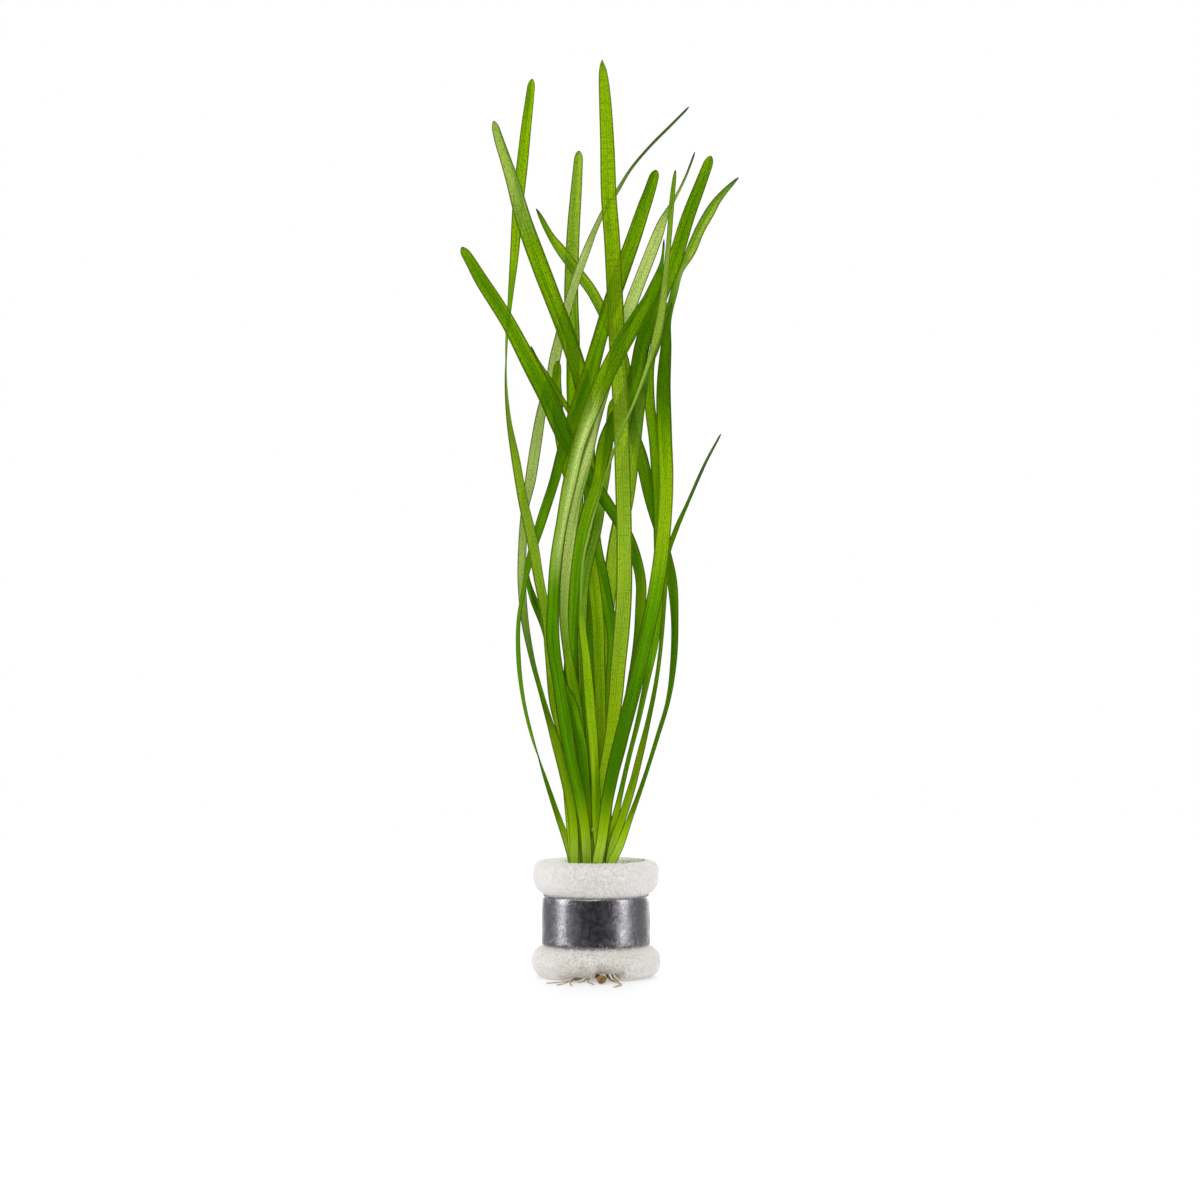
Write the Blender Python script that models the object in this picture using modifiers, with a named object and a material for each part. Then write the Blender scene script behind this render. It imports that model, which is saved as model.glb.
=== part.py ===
"""A bunch of vallisneria: ribbon leaves in a rolled foam collar that a lead strip weighs down.

Metres, +Z up. The bunch stands on its collar, and its front faces -Y.
"""

import math

import bmesh
import bpy
import numpy as np
from mathutils import Vector

MM = 0.001

# Driving sizes of the leaves
LEAF_THICKNESS = 0.30 * MM
LEAF_STATION_GAP = 8.0 * MM
LEAF_CHANNEL = 0.05
TIP_STATIONS = (0.0, 0.35 * MM, 1.1 * MM, 3.0 * MM)
TIP_ROUNDING = 2.4 * MM
TIP_END_SHARE = 0.15
TIP_SHARE = 0.55
TIP_TAPER = 18.0 * MM
BASE_TAPER = 75.0 * MM
CELLS_ACROSS = 2

# Where the leaves gather on their crowns, inside the collar
GATHER_CENTRE = Vector((-2.2 * MM, -1.3 * MM))
GATHER_SQUEEZE = 0.85
GATHER_STEPS = ((22.0 * MM, 0.5), (14.3 * MM, 1.0))
CROWN_TOP = 14.0 * MM
CROWN_BOTTOM = 4.5 * MM

# Driving sizes of the collar
COLLAR_AXIS_X = -1.0 * MM
COLLAR_STEPS = 48
WELD = 0.01 * MM
COLLAR_PROFILE = (
    (13.6 * MM, 28.9 * MM),
    (15.0 * MM, 28.5 * MM),
    (15.7 * MM, 27.3 * MM),
    (15.8 * MM, 25.0 * MM),
    (15.4 * MM, 22.8 * MM),
    (14.3 * MM, 21.3 * MM),
    (12.9 * MM, 20.7 * MM),
    (12.9 * MM, 7.8 * MM),
    (14.5 * MM, 7.2 * MM),
    (15.9 * MM, 5.8 * MM),
    (16.2 * MM, 3.6 * MM),
    (15.5 * MM, 1.3 * MM),
    (13.8 * MM, 0.0 * MM),
    (9.6 * MM, 0.0 * MM),
    (7.9 * MM, 1.2 * MM),
    (7.5 * MM, 4.0 * MM),
    (7.4 * MM, 16.0 * MM),
    (7.9 * MM, 22.0 * MM),
    (8.9 * MM, 27.0 * MM),
    (10.6 * MM, 28.9 * MM),
)
HOLE_EDGE = 10.0 * MM
HOLE_FADE = 2.5 * MM
HOLE_SHIFT_TOP = 2.1 * MM
HOLE_SHIFT_LOW = 0.5 * MM
HOLE_STRETCH_X = 1.06
HOLE_STRETCH_Y = 0.82
HOLE_SHIFT_Y = -1.0 * MM
HOLE_SHIFT_START = 16.0 * MM
HOLE_SHIFT_END = 28.0 * MM

# Arches under the front of the collar, through which the roots leave: angle, half width, height
ARCHES = ((-110.0, 21.0, 1.0 * MM), (-78.0, 18.0, 1.95 * MM))
ARCH_FLAT_SHARE = 0.6
ARCH_FADE_HEIGHT = 7.0 * MM

# Driving sizes of the lead strip
BAND_RADIUS = 13.35 * MM
BAND_THICKNESS = 0.30 * MM
BAND_BOTTOM = 8.1 * MM
BAND_TOP = 20.4 * MM
BAND_STEPS = 64
BAND_START = math.radians(62.0)
BAND_LAP = math.radians(26.0)
BAND_LAP_RISE = 0.65 * MM
BAND_RISE_START = math.radians(308.0)
BAND_RISE_END = math.radians(357.4)

# The photograph is level, from 0.83 m. Routes are read from it in its pixels, from the top left corner.
PHOTO_PIXEL = 0.25 * MM
PHOTO_CENTRE = 600.0
CAMERA_DISTANCE = 0.83
CAMERA_HEIGHT = 94.0 * MM

# Each leaf: full width, width at the base, way of turning, and its route from tip to collar.
# A point of a route is a pixel across, a pixel down, the depth in mm (away from the camera is plus),
# and the width that shows there in pixels, minus where the back of the leaf is seen.
LEAVES = {
    "leaf_01": (4.2 * MM, 2.4 * MM, 1, (
        (602.3, 60, 2, 3), (603, 72, 1.5, 8), (605, 100, 0, 12), (607, 140, -2, 14), (609, 200, -3.5, 16),
        (612, 240, -5, 16), (614, 280, -6.5, 16), (617, 340, -8.6, 16.5), (620, 400, -9, 15.5),
        (622.7, 480, -9.3, 15.5), (624, 540, -9.3, 15.5), (623.5, 600, -8.5, 16),
        (620.5, 640, -8, 16), (618.5, 660, -7.5, 15.5), (615, 700, -7, 14.5), (610, 740, -6.5, 12.5),
        (602.5, 780, -5.8, 11), (597.5, 820, -4.4, 10), (598, 862, -3.2, 10),
    )),
    "leaf_02": (3.3 * MM, 2.2 * MM, -1, (
        (532, 79, 13, 7.5), (529.5, 100, 11, 9), (527, 120, 9.5, 11), (522.7, 160, 6.5, 12.5),
        (518.5, 200, 4, 11), (514.2, 260, 2, 8.5), (510.5, 300, 1, 5), (506.5, 345, -0.5, 2),
        (506, 380, -2, -1), (509.2, 420, -3.5, -4.5), (516, 460, -5, -8), (523, 500, -6.5, -9),
        (532.2, 540, -8, -10.5), (539.2, 580, -9.2, -9.5), (547, 620, -9.5, -9.5),
        (551, 660, -10.7, -10.5), (554, 700, -10.8, -9.5), (563.5, 740, -6.7, -10),
        (569, 800, -4.4, -10), (573.5, 862, -2.2, -10),
    )),
    "leaf_03": (4.6 * MM, 2.4 * MM, 1, (
        (493.5, 121, -9, 7), (498.8, 140, -8, 9.3), (505.5, 160, -7, 11), (512, 180, -6, 13),
        (523.5, 220, -4.6, 16), (538, 260, -3.4, 17.5), (553.2, 300, -2.6, 17),
        (568.5, 340, -2.2, 17), (582, 385, -1.8, 16), (586, 430, -1, 15), (589, 480, 0.8, 14),
        (592, 520, 2.2, 13), (594, 540, 2.4, 13), (602, 580, 1.4, 13), (606, 600, 0.6, 12),
        (610, 620, -0.4, 11), (613, 640, -1.2, 12), (612, 680, -1.6, 14), (608, 740, -1.7, 14),
        (603, 800, -1.4, 11), (597, 862, -1.2, 10),
    )),
    "leaf_04": (4.7 * MM, 2.2 * MM, -1, (
        (462, 247, -19, 9), (470, 260, -17.5, 10), (481.5, 280, -15, 13), (494.5, 300, -12.5, 14),
        (507, 320, -10.5, 14), (528.2, 360, -8.6, 16.3), (549, 400, -8.5, 18.5),
        (567, 440, -9, 16), (580, 460, -7.4, 14), (597, 487, -4.9, 12), (612, 510, -4.2, 11),
        (626, 532, -3.8, 11), (637, 560, -2.8, 10), (641.5, 585, -2, 10), (641, 605, -1.8, 10),
        (638.5, 640, -2, 9), (632, 690, -2.4, 11), (622, 740, -1.5, 12), (612, 780, 0.1, 11), (607, 810, 0.2, 10),
        (608.5, 862, 0.4, 10),
    )),
    "leaf_05": (4.6 * MM, 2.3 * MM, 1, (
        (664, 239, -13, 1.5), (662, 260, -12.5, 3), (656, 285, -12.4, 12), (650, 300, -12.5, 17),
        (640, 315, -12.8, 18), (622, 345, -14, 17.5), (606, 375, -15.5, 16.5),
        (593, 405, -16.6, 16.5), (580, 440, -17.4, 13), (570, 480, -18, 13.5),
        (562, 520, -18, 11), (555.7, 560, -17.6, 11.5), (553, 600, -17, 11.5),
        (552.5, 640, -16, 13), (558, 680, -14.7, 12), (564.5, 720, -13.2, 13.5),
        (571, 760, -11.4, 12), (580, 800, -9, 11.5), (585, 830, -6.6, 10.5), (587, 862, -4.2, 10),
    )),
    "leaf_06": (4.4 * MM, 2.1 * MM, -1, (
        (656, 170, 7, 10), (650, 190, 5, 11.5), (643, 210, 3, 14), (633, 240, 0.6, 16.5),
        (624, 265, -0.8, 16.5), (612, 300, -1.8, 15.5), (599.5, 340, -3, 14.5),
        (588, 380, -4.4, 16.5), (577, 410, -4.5, 15), (563, 450, -4.2, 11), (555, 480, -4, 10),
        (542, 520, -3.4, 10), (530, 560, -2.8, 7), (524, 590, -2, 4), (519, 620, -1.8, 4),
        (519, 660, -2, 4.5), (523.7, 700, -2.4, 3.5), (533.2, 740, -2.6, 2.5),
        (546, 780, -2.4, -3), (559.5, 820, -1.9, -5.5), (566.5, 840, -1.6, -7),
        (573, 862, -1.1, -9),
    )),
    "leaf_07": (4.1 * MM, 2.2 * MM, 1, (
        (711, 156, -4, 10), (702, 180, -4, 12.5), (687, 220, -4.2, 14), (678, 250, -4.8, 15),
        (669, 280, -5.6, 10), (655, 310, -6.4, 14), (643.5, 340, -6.8, 15), (634.5, 380, -6.2, 15),
        (620.5, 410, -6.4, 15), (606, 440, -7.6, 14.5), (598, 480, -8.9, 12.5), (585.5, 520, -9.6, 13),
        (577.7, 560, -10, 12.5), (574.2, 600, -9, 11.5), (572, 640, -6.8, 11),
        (570.5, 670, -4.9, 14), (572, 700, -4.1, 14.5), (577, 750, -4.4, 13), (581, 800, -3.2, 11),
        (584.5, 862, -1.2, 10),
    )),
    "leaf_08": (4.4 * MM, 2.3 * MM, -1, (
        (671.5, 303, -9.6, 10), (666, 310, -9.2, 11), (662, 320, -9, 10.5), (657, 340, -8.7, 10),
        (652, 360, -6, 4), (646, 380, -3, -5), (640.5, 400, -2.4, -11), (636, 430, -1.6, -13),
        (631, 460, -0.8, -16.5), (625.5, 500, 1, -16.5), (617, 540, 3.6, -16),
        (613.5, 560, 4.9, -15), (609, 600, 5.2, -13), (606.5, 640, 4.8, -12),
        (607, 680, 4.2, -12), (605, 740, 3.2, -12), (600, 815, 2.4, -10.5), (593, 862, 1.2, -10),
    )),
    "leaf_09": (3.3 * MM, 2.2 * MM, 1, (
        (695, 152, 8, 1.5), (685, 178, 6, 1.5), (676, 196, 4, 2), (668, 210, 2, 4),
        (663.2, 220, 1, 7.5), (655.7, 240, -1, 11.5), (648, 260, -2.6, 13), (640.2, 280, -3.8, 13),
        (632.5, 300, -4.6, 13), (618, 345, -5.4, 11), (604, 395, -6.4, 7), (595, 430, -9, 6),
        (586.7, 460, -11, 10), (576.2, 500, -13.2, 10), (569.5, 540, -14, 11), (565, 580, -13.4, 10),
        (563.7, 620, -11.4, 8.5), (568, 660, -8.4, 8.5), (571.5, 680, -6.2, 11), (575.5, 700, -6, 11),
        (580, 730, -6.1, 10), (584, 770, -5.8, 10), (586.5, 810, -4.6, 10), (585.5, 862, -2.2, 10),
    )),
    "leaf_10": (2.9 * MM, 2.2 * MM, -1, (
        (675.5, 170, -21, 3), (672.2, 200, -19.5, 4.5), (669.2, 240, -18, 4.5),
        (665.5, 280, -17, 6), (663.5, 300, -16.8, 7), (656, 340, -16.4, 8), (650, 360, -16.2, 5),
        (635.5, 400, -16.6, 3), (620, 435, -17, 2), (606, 475, -17.4, 2), (592, 520, -17.2, -2),
        (583, 560, -16.6, -3), (581, 600, -15.4, -4), (581.7, 620, -14.6, -6.5),
        (586, 660, -12.8, -8.5), (589.5, 700, -11.2, -10.5), (593, 740, -9.8, -10),
        (595.5, 780, -8.3, -9), (596.5, 820, -6.7, -9.5), (599, 862, -4.2, -10),
    )),
    "leaf_11": (3.1 * MM, 2.1 * MM, 1, (
        (689, 107, 25, 1.2), (670, 126, 21, 1.2), (650, 146, 16.5, 1.2), (630, 170, 11, 1.5),
        (617, 191, 7.5, 3), (603, 212, 6, 4), (594.5, 230, 5.4, 5), (586.5, 250, 5.4, 7),
        (579, 270, 5.6, 8), (569.5, 300, 6.2, 9), (559, 340, 7, 10), (554.5, 360, 7.4, 11),
        (551.5, 380, 7.6, 11.5), (541.7, 410, 7.2, 9.5), (536.5, 440, 6.6, 11), (530.2, 480, 5.6, 10.5),
        (524.5, 510, 4.8, 7), (522.5, 540, 4.2, 8), (521.5, 580, 3.2, 8), (524.5, 620, 1.4, 7),
        (532, 660, -2.8, 4.5), (543, 700, -9, 4.5), (549.5, 722, -11.3, 6), (558, 750, -11, 9.5),
        (565.5, 780, -9.4, 9.5), (571.5, 810, -7.2, 9.5), (574, 835, -4.9, 10), (574.3, 862, -3.1, 10),
    )),
    "leaf_12": (3.8 * MM, 2.2 * MM, -1, (
        (579, 151, 19, 10), (577.7, 170, 17.4, 10.5), (575.5, 200, 15.4, 12), (574, 220, 14.4, 13),
        (572, 260, 13, 14), (571.2, 300, 12.2, 14.5), (573, 340, 11.8, 14), (573, 400, 11.2, 12),
        (577, 480, 10.4, 11), (582, 560, 9.6, 10), (585, 640, 8.4, 9), (586, 720, 6.8, 9),
        (588, 800, 4.6, 10), (586, 862, 2.6, 10),
    )),
    "leaf_13": (3.6 * MM, 2.2 * MM, 1, (
        (558, 361, 4.4, 8), (556.5, 380, 4.2, 9), (557.5, 400, 4, 10), (559, 430, 3.8, 10),
        (567, 470, 2.4, 11), (576, 500, -0.9, 12), (586, 540, -1.6, 13.5), (590, 560, -1.5, 13),
        (594.5, 590, -2.3, 13), (597.5, 620, -3.8, 13), (598.7, 660, -4.5, 12.5),
        (600, 700, -4.4, 11.5), (600.5, 740, -4.1, 11), (600, 800, -3.2, 10), (597.5, 862, -2.2, 10),
    )),
    "leaf_14": (3.3 * MM, 2.0 * MM, -1, (
        (536, 209, 23, 1.5), (542.2, 220, 20, 4.5), (547.5, 230, 17, 5.5), (553.5, 240, 14, 7),
        (561, 250, 11.4, 10), (576, 270, 9.4, 10.5), (591.2, 290, 8.8, 10.5), (602, 310, 9, 10),
        (612, 332, 9.4, 9), (623, 355, 9.6, 9), (629, 390, 9, 8), (633.5, 430, 8.6, 9),
        (642, 460, 8.4, 13), (651, 500, 8.2, 12), (664, 545, 8.4, 10), (672, 580, 8.6, 10),
        (675, 620, 8.2, 7), (674, 660, 6.8, 6), (668.5, 700, 5, 4), (656.7, 740, 3, 3.5),
        (644, 780, 0.2, 3.5), (629.5, 820, -4, 5.5), (619, 848, -4.9, 8), (610.5, 866, -3.7, 9),
    )),
    "leaf_15": (3.8 * MM, 2.7 * MM, 1, (
        (738.5, 178, 16, 1.2), (727, 189, 12.5, 4.5), (717.5, 200, 10, 7), (711, 210, 8, 9.5),
        (699.5, 230, 5, 9.5), (691, 250, 2.8, 10), (681, 270, 1.2, 4.5), (674.5, 290, 0.2, 6.5),
        (667.5, 320, -1, 7), (666, 345, -2.6, 10.5), (663.7, 380, -5, 13.6), (664.6, 440, -8.2, 15.1),
        (666, 480, -9.6, 14.5), (663.5, 530, -11, 14.5), (660.5, 560, -12, 15),
        (654, 600, -12.8, 15), (645, 640, -12.8, 14.8), (636, 680, -12.4, 14.5),
        (626, 720, -11.8, 14.2), (615.5, 760, -10.6, 13.5), (607.2, 800, -9, 12),
        (601.5, 840, -6.4, 11), (597, 866, -5.2, 11),
    )),
    "leaf_16": (2.6 * MM, 2.0 * MM, -1, (
        (721, 434, -12, 1.2), (715, 445, -9.6, 1.5), (707, 460, -6, 2), (700, 475, -2.6, 2.5),
        (687, 505, 1.6, 3), (676, 530, 4, 4.5), (669, 550, 4.8, 4.5), (664, 600, 4.9, 5),
        (661.7, 640, 4.4, 3.5), (656.7, 680, 3.4, 3.5), (648.7, 720, 1.8, 4.5), (639, 760, -0.4, 6.5),
        (634, 780, -1.4, 7), (628, 800, -1.9, 8), (621.5, 820, -2, 8), (614, 840, -2.2, 8.5),
        (609, 864, -2.2, 9),
    )),
    "leaf_17": (3.2 * MM, 2.0 * MM, 1, (
        (655, 343, 2.4, 6), (650, 370, 2.8, 8), (649.7, 400, 3.1, 12.3), (653.8, 440, 3.3, 10.2),
        (656, 480, 3.2, 9), (658, 540, 2.8, 9), (658.5, 590, 2.2, 9), (654, 640, 1.6, 9.5),
        (646.5, 680, 0.9, 6.5), (638, 720, 0.1, 5), (628, 760, -0.8, 4.5), (619, 800, -1.2, 5.5),
        (612, 835, -1.1, 8.5), (609, 864, -1, 9),
    )),
    "leaf_18": (2.4 * MM, 1.9 * MM, -1, (
        (531, 346, -3, 2), (536, 357, -1.8, 2), (544.5, 370, -0.4, 2), (550.7, 380, 0.4, 3.5),
        (562.5, 400, 1.4, 5), (574.5, 420, 2.2, 4.5), (583, 450, 3.4, 6), (588, 500, 5.4, 8),
        (592, 560, 6.4, 9), (592, 620, 5.8, 9), (591, 700, 4.6, 9), (588, 760, 3.2, 9),
        (582, 800, 2.5, 8.5), (579.8, 830, 1.9, 8.5), (580, 862, 1.2, 8.5),
    )),
    "leaf_19": (2.9 * MM, 2.1 * MM, 1, (
        (612.5, 399, -2, 7), (611, 409, -2, 10), (609, 440, -1.6, 10.5), (606, 470, -1, 10.5),
        (601.5, 497, -1, 10.5), (599, 515, -2.2, 10), (595.5, 535, -4, 9.5), (590, 555, -4.8, 9),
        (585, 580, -4.7, 9), (582, 620, -4.2, 10), (583.5, 680, -2.9, 10.5), (585, 740, -1.9, 10.5),
        (586.5, 800, -1.1, 10), (585, 862, -0.2, 10),
    )),
    "leaf_20": (3.3 * MM, 2.2 * MM, -1, (
        (524, 562, 7, 5), (529, 585, 5, 5.5), (534, 600, 3.4, 7.5), (541, 615, 1.6, 9.5),
        (545, 625, 0.2, 9.5), (549, 640, -1.6, 9), (553.5, 660, -5.2, 10), (559, 680, -8.5, 11.5),
        (565, 690, -9.0, 10.5), (570.5, 700, -9.5, 10.5), (575.5, 720, -10.6, 11.5), (580.5, 740, -9.8, 11),
        (585, 780, -7.9, 10.5), (587, 820, -5.7, 10), (585.5, 862, -3.2, 10),
    )),
}

# Crowns: centre across, centre in depth, half width and half depth
CROWNS = {
    "crown_left": (-5.85 * MM, -2.0 * MM, 1.0 * MM, 1.7 * MM),
    "crown_middle": (-2.3 * MM, -1.1 * MM, 2.3 * MM, 4.3 * MM),
    "crown_right": (1.7 * MM, -1.2 * MM, 1.3 * MM, 3.0 * MM),
}
CROWN_ROUNDING = 0.9 * MM
CROWN_SEGMENTS = 2

# Roots: radius at the crown, radius at the tip, and a route on the surface in mm
ROOTS = {
    "root_1": (0.24 * MM, 0.16 * MM, (
        (-5.9, -2.8, 4.0), (-5.5, -4.4, 1.4), (-5.7, -6.6, 0.55), (-6.5, -10.2, 0.42),
        (-7.3, -13.6, 0.42), (-8.6, -16.2, 0.42), (-9.9, -17.6, 0.42), (-11.4, -18.2, 0.4),
        (-13.2, -18.8, 0.35),
    )),
    "root_2": (0.22 * MM, 0.15 * MM, (
        (-4.4, -3.2, 4.0), (-4.1, -5.2, 1.5), (-4.3, -7.4, 0.55), (-5.0, -10.6, 0.45),
        (-5.8, -14.6, 0.5), (-6.4, -17.4, 0.85), (-7.2, -19.8, 1.0), (-8.9, -21.2, 0.5),
        (-10.6, -22.4, 0.3),
    )),
    "root_3": (0.24 * MM, 0.14 * MM, (
        (-5.2, -2.8, 4.0), (-4.9, -5.0, 1.5), (-5.1, -7.2, 0.55), (-5.8, -10.6, 0.42),
        (-6.7, -14.4, 0.42), (-7.2, -17.2, 0.4), (-7.3, -20.0, 0.35), (-6.9, -22.0, 0.3),
        (-6.8, -24.0, 0.3),
    )),
    "root_4": (0.22 * MM, 0.14 * MM, (
        (-3.4, -4.4, 4.0), (-3.1, -5.8, 1.5), (-3.2, -7.8, 0.55), (-3.6, -11.6, 0.42),
        (-4.0, -15.0, 0.42), (-4.6, -16.8, 0.42), (-5.1, -17.6, 0.42), (-5.6, -18.0, 0.4),
    )),
    "root_5": (0.22 * MM, 0.16 * MM, (
        (-2.5, -4.4, 4.0), (-2.3, -5.8, 1.5), (-2.5, -7.8, 0.55), (-2.9, -11.6, 0.42),
        (-3.0, -15.0, 0.42), (-2.7, -17.4, 0.4), (-2.0, -19.6, 0.35), (-1.4, -21.4, 0.3),
    )),
    "root_6": (0.50 * MM, 0.16 * MM, (
        (1.5, -3.4, 3.7), (1.6, -5.2, 2.0), (1.8, -7.6, 0.95), (2.2, -11.0, 0.8),
        (2.7, -15.0, 0.75), (3.6, -18.0, 0.7), (4.7, -20.2, 0.5), (5.2, -21.6, 0.4),
        (4.7, -23.4, 0.35), (3.9, -25.2, 0.3), (3.2, -26.4, 0.3),
    )),
    "root_7": (0.26 * MM, 0.16 * MM, (
        (2.6, -3.2, 4.0), (2.8, -5.2, 2.0), (3.1, -7.6, 0.95), (3.5, -11.0, 0.65),
        (4.1, -14.6, 0.6), (4.5, -16.6, 0.5), (4.3, -18.2, 0.4),
    )),
}
ROOT_STEPS = 2
TUBE_ROUNDNESS = 1

# The cut runner, thick and knobbly, that shows under the front of the collar, in mm
RUNNER_RADIUS = 0.84 * MM
RUNNER_STEPS = 2
RUNNER_KNOBS = (0.75, 0.9, 0.8, 0.95, 0.85, 1.05, 1.4, 1.2)
RUNNER_ROUTE = (
    (-0.9, -3.4, 3.2), (-0.8, -5.2, 1.6), (-0.6, -8.0, 0.9), (-0.3, -11.4, 0.88),
    (0.0, -14.5, 0.88), (0.2, -16.2, 0.95), (0.4, -17.6, 1.25), (0.7, -19.0, 1.3),
)

# Materials: colour, roughness and how metallic
MATERIALS = {
    "leaf_green": ((0.16, 0.36, 0.02), 0.38, 0.0),
    "crown_pale": ((0.55, 0.58, 0.25), 0.60, 0.0),
    "root_beige": ((0.60, 0.47, 0.28), 0.70, 0.0),
    "runner_brown": ((0.38, 0.19, 0.05), 0.70, 0.0),
    "foam_white": ((0.78, 0.77, 0.73), 0.95, 0.0),
    "lead_grey": ((0.17, 0.17, 0.19), 0.42, 0.85),
}


def clear_scene():
    for obj in list(bpy.data.objects):
        bpy.data.objects.remove(obj)


def new_collection(name):
    collection = bpy.data.collections.new(name)
    bpy.context.scene.collection.children.link(collection)
    return collection


def plain_material(name):
    colour, roughness, metallic = MATERIALS[name]
    material = bpy.data.materials.new(name)
    material.use_nodes = True
    shader = material.node_tree.nodes["Principled BSDF"]
    shader.inputs["Base Color"].default_value = (*colour, 1.0)
    shader.inputs["Roughness"].default_value = roughness
    shader.inputs["Metallic"].default_value = metallic
    return material


def add_object(name, mesh, material, collection):
    obj = bpy.data.objects.new(name, mesh)
    collection.objects.link(obj)
    mesh.materials.clear()
    mesh.materials.append(material)
    for polygon in mesh.polygons:
        polygon.use_smooth = True
    return obj


def settled_mesh(obj):
    """The mesh that the object's modifiers make, as plain data. The object itself is removed."""
    bpy.context.view_layer.update()
    graph = bpy.context.evaluated_depsgraph_get()
    mesh = bpy.data.meshes.new_from_object(obj.evaluated_get(graph))
    mesh.name = obj.name
    bpy.data.objects.remove(obj)
    return mesh


def place_of_pixel(across, down, depth):
    """The point at this depth that the photograph shows at this pixel."""
    scale = PHOTO_PIXEL * (CAMERA_DISTANCE + depth) / CAMERA_DISTANCE
    return (
        (across - PHOTO_CENTRE) * scale,
        depth,
        CAMERA_HEIGHT + (PHOTO_CENTRE - down) * scale,
    )


def smooth_through(rows, at):
    """Values at distances `at` along a smooth line through rows, whose first column is the distance."""
    rows = np.asarray(rows, float)
    along = rows[:, 0]
    values = rows[:, 1:]
    slopes = np.gradient(values, along, axis=0)
    found = []
    for distance in at:
        index = int(np.clip(np.searchsorted(along, distance) - 1, 0, len(along) - 2))
        span = along[index + 1] - along[index]
        t = (distance - along[index]) / span
        found.append(
            (2 * t**3 - 3 * t**2 + 1) * values[index]
            + (t**3 - 2 * t**2 + t) * span * slopes[index]
            + (3 * t**2 - 2 * t**3) * values[index + 1]
            + (t**3 - t**2) * span * slopes[index + 1]
        )
    return np.array(found)


def distances_along(points):
    steps = np.linalg.norm(np.diff(np.asarray(points), axis=0), axis=1)
    return np.concatenate([[0.0], np.cumsum(steps)])


def leaf_width(full, base, from_tip, length):
    """The true width of a leaf this far from its tip."""
    rounding = min(from_tip / TIP_ROUNDING, 1.0)
    tip = max(TIP_END_SHARE, math.sqrt(1.0 - (1.0 - rounding) ** 2))
    tip *= TIP_SHARE + (1.0 - TIP_SHARE) * (1.0 - math.exp(-from_tip / TIP_TAPER))
    share = min((length - from_tip) / BASE_TAPER, 1.0)
    share = share * share * (3.0 - 2.0 * share)
    return tip * (base + (full - base) * share)


def gathered(point):
    """The points that lead a leaf from the top of the collar down to its crown."""
    out = []
    for height, share in GATHER_STEPS:
        squeeze = 1.0 + (GATHER_SQUEEZE - 1.0) * share
        out.append((
            GATHER_CENTRE.x + (point[0] - GATHER_CENTRE.x) * squeeze,
            GATHER_CENTRE.y + (point[1] - GATHER_CENTRE.y) * squeeze,
            height,
        ))
    return out


def leaf_line(full, base, route):
    """Rows of distance from the tip, place and turn about the leaf's own line."""
    points = [place_of_pixel(across, down, depth * MM) for across, down, depth, _ in route]
    points += gathered(points[-1])
    along = distances_along(points)
    shares = []
    for distance, (_, _, _, seen) in zip(along, route):
        true_width = leaf_width(full, base, max(distance, TIP_ROUNDING), along[-1])
        shares.append(np.clip(seen * PHOTO_PIXEL / true_width, -1.0, 1.0))
    shares += [math.copysign(1.0, shares[-1])] * len(GATHER_STEPS)
    return [(distance, *point, math.acos(share)) for distance, point, share in zip(along, points, shares)]


def add_leaf(name, leaf, material, collection):
    full, base, way, route = leaf
    rows = leaf_line(full, base, route)
    length = rows[-1][0]
    count = int(round(length / LEAF_STATION_GAP))
    stations = list(TIP_STATIONS) + list(np.linspace(TIP_STATIONS[-1], length, count)[1:])
    line = smooth_through(rows, stations)
    tangents = np.gradient(line[:, :3], np.array(stations), axis=0)
    shape = bmesh.new()
    bmesh.ops.create_grid(shape, x_segments=CELLS_ACROSS, y_segments=len(stations) - 1, size=1.0)
    ordered = sorted(shape.verts, key=lambda vert: (round(vert.co.y, 5), vert.co.x))
    per_row = CELLS_ACROSS + 1
    for index, vert in enumerate(ordered):
        row = index // per_row
        side = vert.co.x
        along = Vector(tangents[row]).normalized()
        across = along.cross(Vector((0.0, -1.0, 0.0))).normalized()
        facing = across.cross(along)
        turn = way * line[row, 3]
        half = 0.5 * leaf_width(full, base, stations[row], length)
        edge = across * math.cos(turn) + facing * math.sin(turn)
        face = facing * math.cos(turn) - across * math.sin(turn)
        channel = LEAF_CHANNEL * 2.0 * half * (side * side - 0.5)
        vert.co = Vector(line[row, :3]) + edge * half * side + face * channel
    mesh = bpy.data.meshes.new(name)
    shape.to_mesh(mesh)
    shape.free()
    obj = add_object(name, mesh, material, collection)
    solidify = obj.modifiers.new("Thickness", "SOLIDIFY")
    solidify.thickness = LEAF_THICKNESS
    solidify.offset = 0.0
    return obj


def turned_ring(name, profile, steps, material, collection):
    """A closed profile of radius and height, turned round the Z axis."""
    mesh = bpy.data.meshes.new(name)
    count = len(profile)
    corners = [(radius, 0.0, height) for radius, height in profile]
    mesh.from_pydata(corners, [(i, (i + 1) % count) for i in range(count)], [])
    obj = bpy.data.objects.new(name, mesh)
    collection.objects.link(obj)
    screw = obj.modifiers.new("Turn", "SCREW")
    screw.steps = steps
    screw.render_steps = steps
    screw.use_merge_vertices = True
    screw.merge_threshold = WELD
    return add_object(name, settled_mesh(obj), material, collection)


def eased(value):
    value = min(max(value, 0.0), 1.0)
    return value * value * (3.0 - 2.0 * value)


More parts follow.
